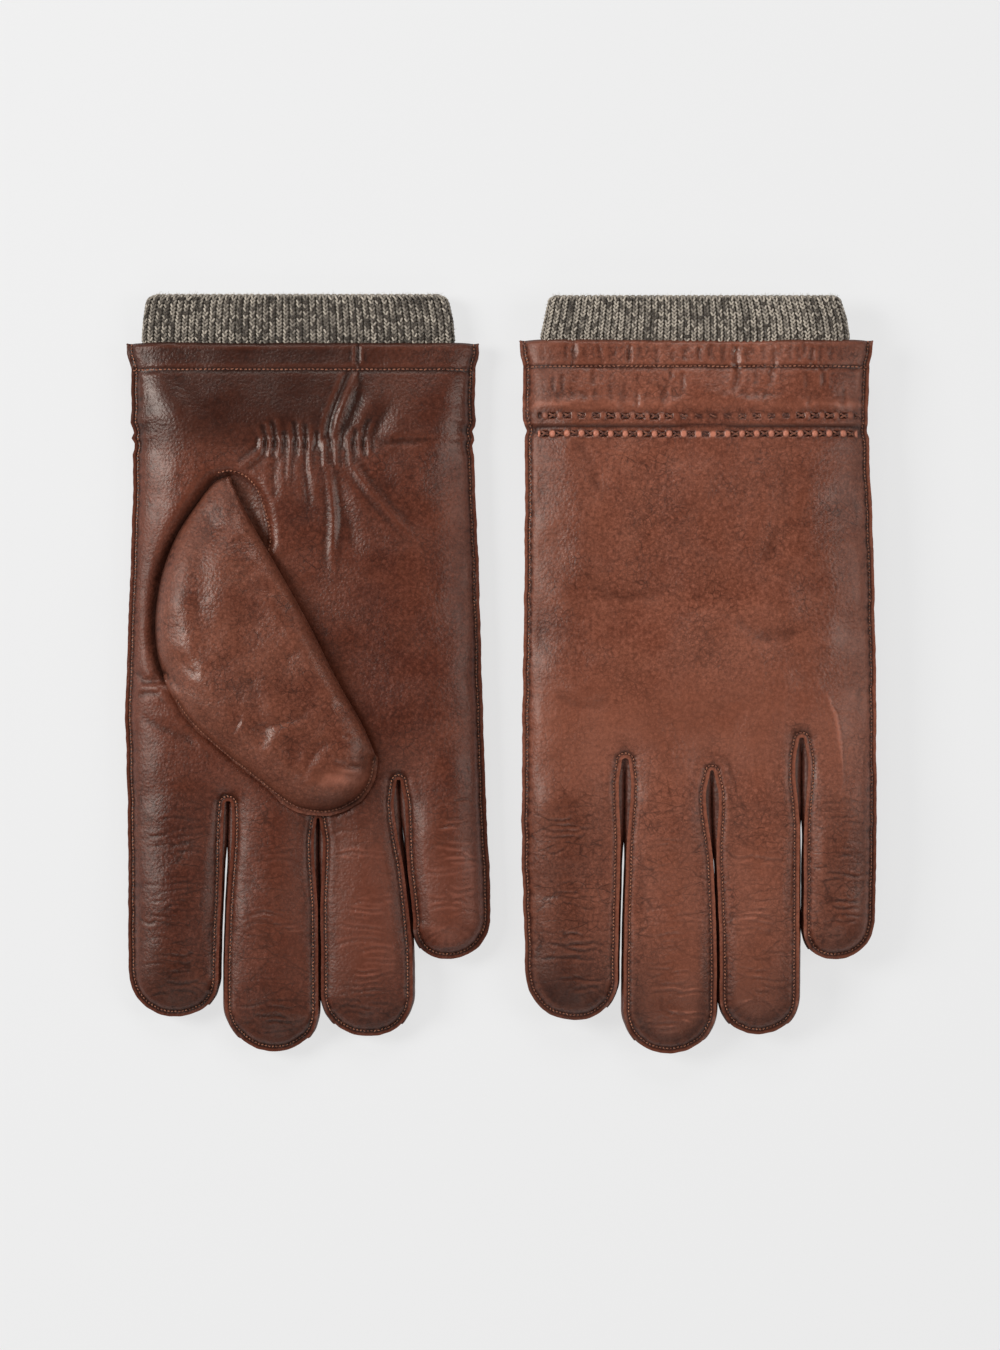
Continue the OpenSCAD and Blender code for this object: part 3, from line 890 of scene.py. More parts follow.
def leather_material(name, dark, base, light, crackle, rough=0.38):
    """Smooth dyed leather: soft patches, a fine grain, a crackle of thin dark lines, painted shade and
    painted highlights, and gloss in places.
    """
    n = Nodes(name)
    patches = n.plus(n.times(n.noise(38, 2.0), 0.55), n.times(n.noise(9, 4.0, 0.6, 0.3), 0.45))
    colour = n.mix(n.remap(patches, 0.36, 0.64), base, light)
    # Grain: darker hollows and lighter tops, as painted shade in the hollows and painted glints on the tops.
    fine = n.noise(1.15, 5.0, 0.75)
    colour = n.mix(n.times(n.remap(fine, 0.49, 0.38), 0.40), colour, dark)
    colour = n.mix(n.times(n.remap(fine, 0.51, 0.62), 0.46), colour, highlight_tone_of(light))
    lined = crackle_lines(n)
    colour = n.mix(n.times(lined, 0.78 * crackle), colour, dark)
    # Painted shade and painted highlights that the shape asks for: dark seams and creases, light ridges and
    # lit patches; the raw edge is a little lighter too.
    colour = n.mix(n.remap(n.attribute("shade"), 0.0, 1.0, 0.0, 0.9), colour, dark)
    highlight_and_raw_edge = n.attribute("highlight_and_raw_edge")
    colour = n.mix(n.times(highlight_and_raw_edge, 0.5, True), colour, light)
    colour = n.mix(n.remap(highlight_and_raw_edge, 1.0, 2.2, 0.0, 0.85), colour, highlight_tone_of(highlight_tone_of(light)))
    matt = n.remap(n.noise(16.0, 3.0, 0.55, 0.4), 0.40, 0.62)
    grain = n.plus(n.times(n.cells(0.85, "SMOOTH_F1"), 0.9), n.times(n.noise(0.6, 2.0, 0.6), 0.5))
    normal = n.bump(n.times(grain, n.remap(matt, 0.0, 1.0, 0.6, 1.4)), 0.13)
    normal = n.bump(n.maths("SUBTRACT", 1.0, lined), 0.03, normal)
    normal = n.bump(n.noise(4.2, 2.0, 0.5), 0.06, normal)
    roughness = n.remap(matt, 0.0, 1.0, rough - 0.05, rough + 0.05)
    roughness = n.plus(roughness, n.times(n.attribute("dull"), 0.10))
    return n.finish(colour, roughness, normal, specular=0.42, tint=(1.0, 0.90, 0.82, 1.0))


def thread_material(name, base, light):
    n = Nodes(name)
    colour = n.mix(n.remap(n.noise(1.4, 2.0), 0.4, 0.6), base, light)
    twist = n.noise(0.12, 1.0)
    return n.finish(colour, 0.7, n.bump(twist, 0.05), specular=0.3, sheen=0.2)


def knit_material(name, base, light, dark):
    n = Nodes(name)
    colour = n.mix(n.attribute("tint"), dark, light)
    melange = n.noise(0.55, 3.0, 0.7)
    colour = n.mix(n.remap(melange, 0.36, 0.64, 0.0, 0.45), colour, base)
    flecks = n.remap(n.noise(0.28, 2.0, 0.8), 0.60, 0.72)
    colour = n.mix(n.times(flecks, 0.5), colour, light)
    fibre = n.noise(0.16, 3.0, 0.7, vector=n.stretched(1.0, 0.35, 1.0))
    return n.finish(colour, 0.92, n.bump(fibre, 0.12), specular=0.15, sheen=0.35)


def cloth_material(name, base, light, size):
    n = Nodes(name)
    weave = n.cells(size, "F1", n.stretched(1.0, 1.3, 1.0), 0.25)
    colour = n.mix(n.remap(weave, 0.1, 0.6), light, base)
    return n.finish(colour, 0.9, n.bump(weave, 0.15), specular=0.15, sheen=0.3)


PALM = leather_material("palm leather", rgb(33, 10, 4), rgb(82, 37, 24), rgb(106, 55, 38), 0.95)
BACK = leather_material("back leather", rgb(42, 13, 6), rgb(113, 59, 41), rgb(136, 79, 59), 1.0)
THUMB = leather_material("thumb leather", rgb(38, 14, 7), rgb(96, 48, 33), rgb(120, 69, 51), 0.95)
FORK = leather_material("fourchette leather", rgb(26, 9, 5), rgb(66, 30, 20), rgb(90, 46, 33), 0.3, 0.5)
THREAD = thread_material("seam thread", rgb(118, 66, 46), rgb(168, 108, 79))
THICK_THREAD = thread_material("bead thread", rgb(82, 41, 27), rgb(130, 78, 56))
KNIT = knit_material("cuff yarn", rgb(116, 105, 93), rgb(206, 194, 177), rgb(50, 42, 35))
LINING = cloth_material("lining knit", rgb(104, 97, 89), rgb(138, 130, 120), 0.9)
TAPE = cloth_material("elastic tape", rgb(196, 191, 184), rgb(224, 220, 214), 0.7)

# ---------------------------------------------------------------- leather halves

RELIEF_SCALE = 10.0                         # relief is given as for points a tenth of this apart


def in_finger(glove, half, f, points):
    """Which points belong to a finger's own piece: below its knuckle line and between its gaps."""
    y = points[:, 1]
    gaps = glove[half + "_gaps"]
    found = y < KNUCKLE_Y[f]
    if f > 0:
        found &= points[:, 0] > gap_x(gaps[f - 1], y)
    if f < 3:
        found &= points[:, 0] < gap_x(gaps[f], y)
    return found


def divided(glove, half, points):
    """Which points belong to each of the fingers, and which to the hand."""
    fingers = [in_finger(glove, half, f, points) for f in range(len(FINGERS))]
    return fingers, ~np.any(fingers, axis=0)


def bend_with_finger(thing):
    """Bakes the piece's placement into its points."""
    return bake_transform(thing)


def palm_shade(glove, x, y):
    """Painted shade in the thumb's seam; on the right-hand glove darker fingertips (partly burnished leather,
    partly painted shade), painted shade over the upper palm and hem, and darker leather over the lower index
    side and down the middle.
    """
    seam_d, _ = nearest(np.column_stack([x, y]), smooth_line(THUMB_SEAM, 1.0))
    # painted shade in the groove of the thumb's seam
    shade = 0.55 * bell(seam_d, 1.5)
    if glove is GLOVES["right"]:
        # fingertips: partly burnished leather, partly painted shade
        for f, amount in ((0, 0.45), (1, 0.60), (2, 0.30)):
            tip = glove["tip_y"][f]
            left, right = finger_edges(glove, "palm", f, np.array([tip + 16.0]))
            middle = (left[0] + right[0]) / 2
            shade += amount * bell(x - middle, 11) * bell(y - tip - 9, 11)
        # painted shade over the upper palm and its hem
        shade += 0.46 * ramp(y, 60, 82) * ramp(x, 50, -10)
        shade += 0.34 * ramp(y, 64, 84)
        # darker over the lower index side and in a band down the middle
        shade += 0.25 * ramp(y, 10, -50) * ramp(x, -20, -40) + 0.12 * ramp(x, -20, 10) * ramp(x, 40, 20)
    return shade


def back_shade(x, y):
    """Painted shade in the band's seam, the bead rows and their stitch holes, and towards both sides; darker
    also at the fingertips and over the index and little fingers.
    """
    # painted shade in the band's seam under its overhang and in the bead stitch holes
    shade = 0.95 * bell(y - BAND_Y, 0.55) + 0.55 * np.clip(-bead_pads(x, y), 0, 1)
    # painted shade along the bead rows
    shade += 0.45 * bell(y - BEAD_ROWS[0] - 0.2, 1.5) + 0.3 * bell(y - BEAD_ROWS[1], 1.5)
    # darker at the fingertips and over the index and little fingers; painted shade towards both sides
    shade += 0.85 * ramp(y, -74, -114) + 0.42 * ramp(x, -24, -44) * ramp(y, -10, -55)
    shade += 0.45 * ramp(x, 32, 44) * ramp(y, -20, -60) + 0.30 * ramp(x, -20, -50) * ramp(y, -30, 20)
    return shade + 0.26 * ramp(x, 20, 50) * ramp(y, -30, 20)


def shading(glove, half, fields, relief):
    """Painted shade in seams and creases and other darker places such as the fingertips; painted highlights
    on ridges and lit patches; a slightly lighter raw edge.
    """
    x, y, d = fields.x, fields.y, fields.d
    # painted shade in the stitch groove and where the leather rises from it; the raw edge a little lighter
    shade = bell(d - LIP, 0.50) - 0.12 * ramp(d, 1.2, 0.8) + 0.10 * bell(d - 3.0, 2.0)
    # painted shade in creases and hollows
    shade += np.clip(-relief * 1.4 - 0.10, 0, 0.38)
    shade += palm_shade(glove, x, y) if half == "palm" else back_shade(x, y)
    # painted shade in the hem's stitch groove and at the rolled top edge
    shade += 0.75 * bell(y - HEM_STITCH_Y, 0.6) + 0.5 * bell(y - CUFF_Y, 0.8)
    # painted highlights on ridges; the raw edge a little lighter
    highlight_and_raw_edge = np.clip(relief * 1.2 - 0.1, 0, 0.6) + 0.5 * ramp(d, 1.2, 0.8)
    dull = ramp(d, 15, 6) * ramp(d, 1.5, 3.0)
    if half == "back":
        pads = np.clip(bead_pads(x, y), 0, 1)
        shade -= pads
        # painted highlights on the bead pads, the band's tuck, the middle of the back and the middle fingers
        highlight_and_raw_edge += (1.1 + 1.2 * (y < BAND_Y)) * pads + 0.9 * bell(y + 18, 18) * ramp(d, 3, 10)
        highlight_and_raw_edge += 0.7 * bell(y - TUCK_Y, 1.7) + 1.0 * bell(x - 6, 22) * ramp(y, -44, -60) * ramp(d, 3, 8)
    else:
        dull = dull * ramp(y, 78, 60)
        if glove is GLOVES["right"]:
            # painted gloss highlight over the fingers right of the index
            highlight_and_raw_edge += 1.1 * ramp(x, -34, 20) * ramp(y, -30, -60) * ramp(y, -108, -90) * ramp(d, 2, 6)
    on_finger = ramp(y, -30, -46)
    off_seam = ramp(d, 1.8, 3.5)
    worn = 0.45 + 0.35 * on_finger + 0.5 * noise2(x, y, 17.0, glove["seed"] + 60)
    return {"shade": np.clip(shade, 0, 1), "highlight_and_raw_edge": highlight_and_raw_edge, "worn": np.clip(worn, 0, 1) * off_seam,
            "across": on_finger * off_seam, "dull": dull}


def above_neighbours(z, faces):
    """How far each point stands above its neighbours' mean."""
    total = np.zeros(len(z))
    count = np.zeros(len(z))
    for a, b in ((0, 1), (1, 2), (2, 0)):
        for p, q in ((a, b), (b, a)):
            np.add.at(total, faces[:, p], z[faces[:, q]])
            np.add.at(count, faces[:, p], 1)
    return z - total / np.maximum(count, 1)


def relief_of(z, faces, step):
    """Smoothed relief of a surface whose points are about a step apart."""
    relief = above_neighbours(z, faces)
    for _ in range(2):
        relief = relief - 0.5 * above_neighbours(relief, faces)
    return relief * RELIEF_SCALE / max(step, 0.4)


def leather_half(name, half, fine, coarse):
    """One half of a glove, made whole and then divided at the knuckle lines (and under the band)."""
    glove = GLOVES[name]
    line = glove[half + "_line"]
    ring = np.vstack([line[:, :2], top_edge(line, coarse)])
    hole, rings, blocks = None, [], []
    if half == "palm":
        hole = hole_polygon
        outwards = normals_of(closed(hole))[:-1]
        rings = [hole + outwards * offset for offset in (0.6, 1.2, 1.8, 2.5)]
    elif fine < 1.0:
        blocks = [hex_grid((BEAD_SPAN[0], level - 2.2), (BEAD_SPAN[1], level + 1.6), 0.36)
                  for level in BEAD_ROWS]
    points = sheet_points(line, fine, coarse, rings, blocks)
    if hole is not None:
        points = points[~inside(points, hole)]
        points = points[np.abs(nearest(points, closed(hole))[0]) > 0.35]
    flat, faces = triangulate(points, ring, hole)
    fields = Fields(glove, half, flat[:, 0], flat[:, 1])
    z = surface(glove, half, fields)
    placed = to_table(name, np.column_stack([flat, z]))
    faces = facing(name, faces, half == "palm")
    normals = vertex_normals(placed, faces)
    colours = shading(glove, half, fields, relief_of(z if half == "palm" else -z, faces, fine))
    hem = ramp(flat[:, 1], CUFF_Y - 9.0, CUFF_Y - 8.2) * ramp(flat[:, 1], CUFF_Y, CUFF_Y - 1.6)
    thickness = LEATHER * (1 + 0.8 * hem)
    centre = flat[faces].mean(1)
    material = PALM if half == "palm" else BACK

    def skin(node, mine):
        piece = shell(node + "_skin", placed, faces[mine], normals, thickness, material, colours)
        belongs(node)
        return piece

    fingers, free = divided(glove, half, centre)
    for f, mine in enumerate(fingers):
        bend_with_finger(skin(f"{name}_{FINGERS[f]}_{half}_side", mine))
    if half == "palm":
        parts = [(f"{name}_palm", free)]
    else:
        band = centre[:, 1] > BAND_Y
        parts = [(f"{name}_back", free & ~band), (f"{name}_cuff_band", free & band)]
    for node, mine in parts:
        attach(skin(node, mine), f"{name}_hand")


for glove in GLOVES.values():
    for half in ("palm", "back"):
        glove[half + "_line"] = outline(glove, half)

# Distances between the points over the fingers and over the hand, on the sides seen and on those hidden.
SEEN, HIDDEN = (((0.5, 0.72), (1.0, 1.3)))

leather_half("right", "palm", *SEEN)
leather_half("right", "back", *HIDDEN)
leather_half("left", "back", *SEEN)
leather_half("left", "palm", *HIDDEN)

# ---------------------------------------------------------------- fourchettes

FORK_ROWS = 150
FORK_TUCK = 0.12                            # the strip's edge lies this far inside the seam lips


def fork_ends(glove, half, gap):
    """Where in an outline a gap's fourchette begins, tops out and ends."""
    line = glove[half + "_line"]
    x, y, share = line.T
    top_y, top_x = glove[half + "_gaps"][gap][:2]
    top = int(np.hypot(x - top_x, y - top_y).argmin())
    start = end = top
    while start > 0 and share[start - 1] > 0.04:
        start -= 1
    while end < len(line) - 1 and share[end + 1] > 0.04:
        end += 1
    return start, top, end


def fork_strip(name, gap, side):
    """The wall between the palm half and the back half beside a gap; side 0 is the left finger's."""
    glove = GLOVES[name]
    runs = []
    for half in ("palm", "back"):
        start, top, end = fork_ends(glove, half, gap)
        line = glove[half + "_line"]
        run = slice(start, top + 1) if side == 0 else slice(top, end + 1)
        part = line[run]
        half_gap = gap_half(glove[half + "_gaps"][gap], part[:, 1])
        both = np.column_stack([part, normals_of(line)[run], half_gap])
        s = lengths(part[:, :2])
        t = np.linspace(0, s[-1], FORK_ROWS)
        if side == 0:
            t = s[-1] - t[::-1]
        runs.append(np.column_stack([np.interp(t, s, column) for column in both.T]))
    palm, back = runs
    palm_z = seam_heights(glove, palm[:, 2])[0] - FORK_TUCK
    back_z = seam_heights(glove, back[:, 2])[1] + FORK_TUCK

    def beside(run, offset):
        """The seam line moved into the finger by an offset."""
        return run[:, :2] + run[:, 3:5] * offset

    # The strip bulges into the gap, less so far down the finger.
    along = lengths(palm[:, :2]) if side else lengths(palm[::-1, :2])[::-1]
    bulge = np.clip(np.minimum(palm[:, 5], back[:, 5]) - 0.15, 0, 1.7) * ramp(palm[:, 2], 0.7, 1.0)
    bulge = bulge * (0.30 + 0.70 * ramp(along, 26.0, 14.0))
    columns = [np.column_stack([beside(palm, offset), palm_z]) for offset in (0.15, 0.9)]
    for c in np.linspace(0, 1, 13):
        offset = (LIP - (LIP - 0.2 + bulge) * math.sin(math.pi * c) ** 0.38)[:, None]
        spot = beside(palm, offset) * (1 - c) + beside(back, offset) * c
        columns.append(np.column_stack([spot, palm_z * (1 - c) + back_z * c]))
    columns += [np.column_stack([beside(back, offset), back_z]) for offset in (0.9, 0.15)]
    grid = np.stack(columns, axis=1)
    index = np.arange(FORK_ROWS * len(columns)).reshape(FORK_ROWS, len(columns))
    return to_table(name, grid.reshape(-1, 3)), facing(name, grid_faces(index))


def fourchettes(name):
    """Every finger's fourchette, on one side of the end fingers and both sides of the middle ones."""
    for f, finger in enumerate(FINGERS):
        strips = [fork_strip(name, gap, side) for gap, side in ((f, 0), (f - 1, 1)) if 0 <= gap < 3]
        points = np.vstack([strip[0] for strip in strips])
        faces = np.vstack([strip[1] + k * len(strips[0][0]) for k, strip in enumerate(strips)])
        # an even painted shade on the strips, which lie between the fingers
        colours = {"shade": np.full(len(points), 0.15), "highlight_and_raw_edge": np.zeros(len(points))}
        node = f"{name}_{finger}_fourchette"
        piece = shell(node + "_strip", points, faces, vertex_normals(points, faces), 0.7, FORK, colours)
        belongs(node)
        bend_with_finger(piece)


# ---------------------------------------------------------------- thumbs

THUMB_LIP_Z = 12.3                          # heights of the stitched edge, the apex and the crest
THUMB_APEX_Z = 13.4
THUMB_TOP = 20.9
THUMB_SKIN = 0.8
THUMB_BEND = (-1.5, 12.0)                   # stretches across the thumb's hinge
WEB_BEND = (20.8, -10.0)
UNDER_LEFT = [(-44.2, -0.6), (-41.6, 4.0), (-41.4, 14.0), (-40.6, 24.0), (-37.4, 36.0), (-32.6, 47.0),
              (-26.6, 56.6), (-23.6, 62.6)]


def line_distance(points, line, step=1.0):
    return np.abs(nearest(points, smooth_line(line, step))[0])


def thumb_measures(x, y):
    """Distances of places on the thumb from its seam, its edge, its fold and its apex, and the heights of
    its fold and of its edge nearest to them, with how far along the edge that is."""
    points = np.column_stack([x, y])
    d_edge, place = nearest(points, smooth_line(THUMB_EDGE, 1.0))
    apex = np.hypot(x - THUMB_SEAM[-1][0], y - THUMB_SEAM[-1][1])
    fold_z = 12.3 + 2.4 * ramp(apex, 4, 40)
    edge_z = THUMB_LIP_Z + 0.6 * ramp(place, 30, 70)
    return (line_distance(points, THUMB_SEAM), np.abs(d_edge), line_distance(points, THUMB_FOLD), apex,
            fold_z, edge_z, place)


def thumb_top_height(x, y, details=True):
    """Outer surface of the thumb: seamed on the left and below, folded on the right."""
    d_seam, d_edge, d_fold, apex, fold_z, edge_z, place = thumb_measures(x, y)
    crest = THUMB_APEX_Z + (THUMB_TOP - THUMB_APEX_Z) * ramp(apex, 0, 42) ** 0.8
    crest = crest - 1.2 * ramp(x, 8, 24)
    weight = 1 / (np.stack([d_seam, d_edge, d_fold]) + 0.4) ** 2
    weight /= weight.sum(0)
    seam_z = 9.6 + 0.8 * ramp(apex, 20, 0)
    low = weight[0] * seam_z + weight[1] * edge_z + weight[2] * fold_z
    lip = 1.5 * ramp(place, 4, 12)
    t_edge = np.clip((d_edge - lip - 0.4) / (11.5 - 3.0 * ramp(x, 2, 14)), 0, 1)
    z = low + (crest - low) * rise(d_seam / 13.0, 1.7) * rise(t_edge, 2.1) * rise(d_fold / 7.5, 2.4)
    z -= 0.35 * bell(d_edge - lip, 0.4) * ramp(place, 4, 12)
    if details:
        out = 0.75 * noise2(x, y, 19.0, 71) + 0.30 * noise2(x, y, 8.0, 72) + 0.08 * noise2(x, y, 3.0, 73)
        out += creases(x, y, [
            ([(-25.0, 56.0), (-31.0, 42.0), (-33.0, 26.0), (-32.0, 12.0)], 3.6, 0.9),
            ([(-16.0, 30.0), (-6.0, 24.0), (2.0, 12.0)], 2.2, 0.55),
            ([(-22.0, -10.0), (-17.0, -3.0), (-14.0, -12.0), (-12.0, -24.0)], 3.2, 0.6),
            ([(12.0, -20.0), (6.0, -22.0), (2.0, -28.0), (-2.0, -36.0)], 1.3, 0.26),
            ([(12.5, -19.5), (15.0, -18.8)], 0.7, 0.3),
            ([(8.0, -26.5), (14.0, -28.5), (21.0, -29.0)], 0.8, 0.25),
            ([(-7.0, -14.0), (-8.6, -24.0), (-2.0, -33.0)], 2.4, -0.35),
            ([(-20.0, -16.0), (-12.0, -17.0), (-4.0, -14.0), (4.0, -12.0)], 1.6, 0.3),
            ([(-44.0, 6.0), (-38.0, 4.0), (-32.0, -2.0)], 1.8, 0.3),
            ([(-43.0, -4.0), (-36.0, -4.0), (-28.0, -10.0)], 1.9, 0.3)])
        z += out * ramp(np.minimum(np.minimum(d_seam, d_edge), d_fold), 0.8, 4.0)
    return z


def thumb_bottom_height(x, y):
    """The side of the thumb that lies against the palm."""
    _, d_edge, d_fold, _, fold_z, edge_z, _ = thumb_measures(x, y)
    low = 11.55
    z = low + (fold_z - low) * (1 - rise(d_fold / 5.0, 2.6))
    inwards = ramp(d_edge, 1.0, 3.0)
    return z * inwards + (edge_z - 0.95) * (1 - inwards)


def bend_with_thumb(thing, name, start_u, end_u):
    """Bakes the piece's placement into its points; the two places on the line across the thumb's hinge are
    not used.
    """
    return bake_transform(thing)


def region_sheet(ring, step, rings=(0.5, 1.0, 1.5, 2.1)):
    """Triangles over a closed ring of points, with rows of points beside its edge."""
    a, b = ring, np.roll(ring, -1, axis=0)
    if (a[:, 0] * b[:, 1] - b[:, 0] * a[:, 1]).sum() < 0:
        ring = ring[::-1]
    edge = closed(ring)
    normal = normals_of(edge)[:-1]
    rows = []
    for offset in rings:
        row = ring + normal * offset
        rows.append(row[(np.abs(nearest(row, edge)[0]) > offset - 0.06) & inside(row, ring)])
    grid = hex_grid(ring.min(0), ring.max(0), step)
    grid = grid[inside(grid, ring)]
    grid = grid[np.abs(nearest(grid, edge)[0]) > rings[-1] + 0.25]
    return triangulate(np.vstack(rows + [grid]), ring)


def wavy(line, amount, seed, keep_ends=6):
    """A line that wavers, except near its ends."""
    s = lengths(line)
    size = ramp(s, 0, keep_ends) * ramp(s, s[-1], s[-1] - keep_ends)
    wobble = amount * (noise1(s, 5.0, seed) + 0.6 * noise1(s, 2.2, seed + 1)) * size
    return line + normals_of(line) * wobble[:, None]


def ring_of(edge, step, left):
    """The outline of a thumb sheet: the stitched edge, the folded edge and a line on the left."""
    return np.vstack([edge, smooth_line(THUMB_FOLD, step)[1:], smooth_line(left, step)[::-1][1:-1]])


# colours for a sheet under an even painted shade, with no highlight
def even_painted_shade(z, shade):
    return {"shade": np.full(len(z), shade), "highlight_and_raw_edge": np.zeros(len(z))}


def outer_sheet(step):
    flat, faces = region_sheet(ring_of(wavy(smooth_line(THUMB_EDGE, 0.6), 0.28, 31), 0.6, THUMB_SEAM), step)
    x, y = flat.T
    z = thumb_top_height(x, y)
    relief = relief_of(z, faces, step)
    d_seam, d_edge = line_distance(flat, THUMB_SEAM), line_distance(flat, THUMB_EDGE)
    # painted shade in the seam and stitch grooves, in creases and at the thumb's tip
    shade = 0.55 * bell(d_seam, 1.6) + 0.5 * bell(d_edge - 1.5, 0.5) + np.clip(-relief * 0.8, 0, 0.15)
    shade += 0.50 * bell(x - 11, 11) * bell(y + 39.5, 3.2)
    worn = np.clip(0.65 + 0.5 * noise2(x, y, 14.0, 78), 0, 1)
    # painted highlights on ridges and just above the tip
    return flat, z, faces, {
        "shade": np.clip(shade, 0, 1),
        "highlight_and_raw_edge": np.clip(relief * 1.2, 0, 0.6) + 1.5 * bell(x - 11, 9) * bell(y + 32.5, 3.6),
        "worn": worn * ramp(d_edge, 1.8, 3.5),
        "across": np.zeros(len(z)),
        "dull": ramp(np.minimum(d_edge, d_seam), 12, 5)}


def inner_sheet():
    flat, faces = region_sheet(ring_of(smooth_line(THUMB_EDGE, 0.9), 0.9, UNDER_LEFT), 1.6, (0.7, 1.5))
    z = thumb_bottom_height(*flat.T)
    # painted shade on the thumb's underside
    return flat, z, faces, even_painted_shade(z, 0.25)


def web_sheet():
    """The leather between the palm's thumb hole and the thumb."""
    ring = np.vstack([smooth_line(HOLE_RIGHT, 0.7), smooth_line(UNDER_LEFT, 0.7)[1:-1]])
    flat, faces = region_sheet(ring, 1.2, (0.6, 1.3))
    d_hole = line_distance(flat, HOLE_RIGHT, 0.7)
    z = 9.8 + 0.9 * ramp(d_hole, 3.0, 0.0) + 0.25 * noise2(*flat.T, 3.0, 77) * ramp(d_hole, 0, 2)
    # painted shade on the web beneath the thumb
    return flat, z, faces, even_painted_shade(z, 0.5)


def thumb_lining(name):
    """A closed pocket a little inside the leather."""
    ring = ring_of(smooth_line(THUMB_EDGE, 1.4), 1.4, UNDER_LEFT)
    inset = ring + normals_of(closed(ring))[:-1] * 2.6
    inset = inset[np.abs(nearest(inset, closed(ring))[0]) > 2.4]
    flat, faces = region_sheet(inset, 2.2, (1.0, 2.0))
    top, low = thumb_top_height(*flat.T), thumb_bottom_height(*flat.T)
    edge_t = rise(np.abs(nearest(flat, closed(inset))[0]) / 4.0, 2.2)
    middle = 0.5 * (top - 1.2 + low + 1.1)
    half_h = np.maximum(0.5 * (top - 1.3 - low - 1.2), 0.25) * (0.25 + 0.75 * edge_t)
    both = np.vstack([np.column_stack([flat, middle + half_h]), np.column_stack([flat, middle - half_h])])
    n = len(flat)
    every = facing(name, np.vstack([faces, faces[:, ::-1] + n, rim_walls(faces, n)]))
    piece = mesh_object(f"{name}_thumb_lining_pocket", to_table(name, both), every, LINING)
    belongs(f"{name}_thumb_lining")
    bend_with_thumb(piece, name, *THUMB_BEND)


def thumb(name):
    step = 1.6 if name == "left" else 0.5
    for part, node, sheet, up, bend, slot in [
            ("outer", "outer", outer_sheet(step), True, THUMB_BEND, "back_leather"),
            ("inner", "inner", inner_sheet(), False, THUMB_BEND, "palm_leather"),
            ("web", "inner", web_sheet(), True, WEB_BEND, "palm_leather")]:
        flat, z, faces, colours = sheet
        placed = to_table(name, np.column_stack([flat, z]))
        faces = facing(name, faces, up)
        normals = vertex_normals(placed, faces)
        piece = shell(f"{name}_thumb_{part}_skin", placed, faces, normals, THUMB_SKIN, THUMB, colours)
        belongs(f"{name}_thumb_{node}")
        bend_with_thumb(piece, name, *bend)
    thumb_lining(name)


# ---------------------------------------------------------------- linings

LINING_GAP = 2.1                            # lining's outside below the leather's outside
LINING_SKIN = 0.8


def lining_ring(glove, half):
    """The outline of a lining half: the leather's, set in."""
    line = resample(glove[half + "_line"], 1.6)
    inset = line[:, :2] + normals_of(line) * 2.3
    inset = inset[np.abs(nearest(inset, line)[0]) > 2.15]
    return inset[inset[:, 1] < KNIT_END + 1]


def lining_half(name, half):
    glove = GLOVES[name]
    ring = lining_ring(glove, half)
    grid = hex_grid(ring.min(0), ring.max(0), 2.2)
    grid = grid[inside(grid, ring)]
    grid = grid[np.abs(nearest(grid, closed(ring))[0]) > 1.0]
    hole = None
    if half == "palm":
        hole = resample(closed(hole_polygon), 1.5)[:-1]
        grid = grid[~inside(grid, hole)]
        grid = grid[np.abs(nearest(grid, closed(hole))[0]) > 0.8]
    flat, faces = triangulate(grid, ring, hole)
    z = surface(glove, half, Fields(glove, half, flat[:, 0], flat[:, 1])) - OUTWARDS[half] * LINING_GAP
    placed = to_table(name, np.column_stack([flat, z]))
    faces = facing(name, faces, half == "palm")
    normals = vertex_normals(placed, faces)

    def skin(label, node, mine):
        piece = shell(f"{name}_{label}", placed, faces[mine], normals, LINING_SKIN, LINING)
        belongs(f"{name}_{node}")
        return piece

    fingers, free = divided(glove, half, flat[faces].mean(1))
    for f, mine in enumerate(fingers):
        node = f"{FINGERS[f]}_lining"
        bend_with_finger(skin(f"{node}_{half}", node, mine))
    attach(skin(f"{half}_lining_sheet", f"{half}_lining", free), f"{name}_hand")


def linings(name):
    for half in ("palm", "back"):
        lining_half(name, half)


# ---------------------------------------------------------------- stitches

STITCH_PITCH = 1.12
STITCH_RADIUS = 0.22
THUMB_HOLE_SEAM = [(-27.2, 63.6), (-23.0, 64.3), (-18.0, 62.4), (-14.0, 57.2), (-11.2, 48.0), (-10.6, 42.0),
                   (-12.2, 34.0)]


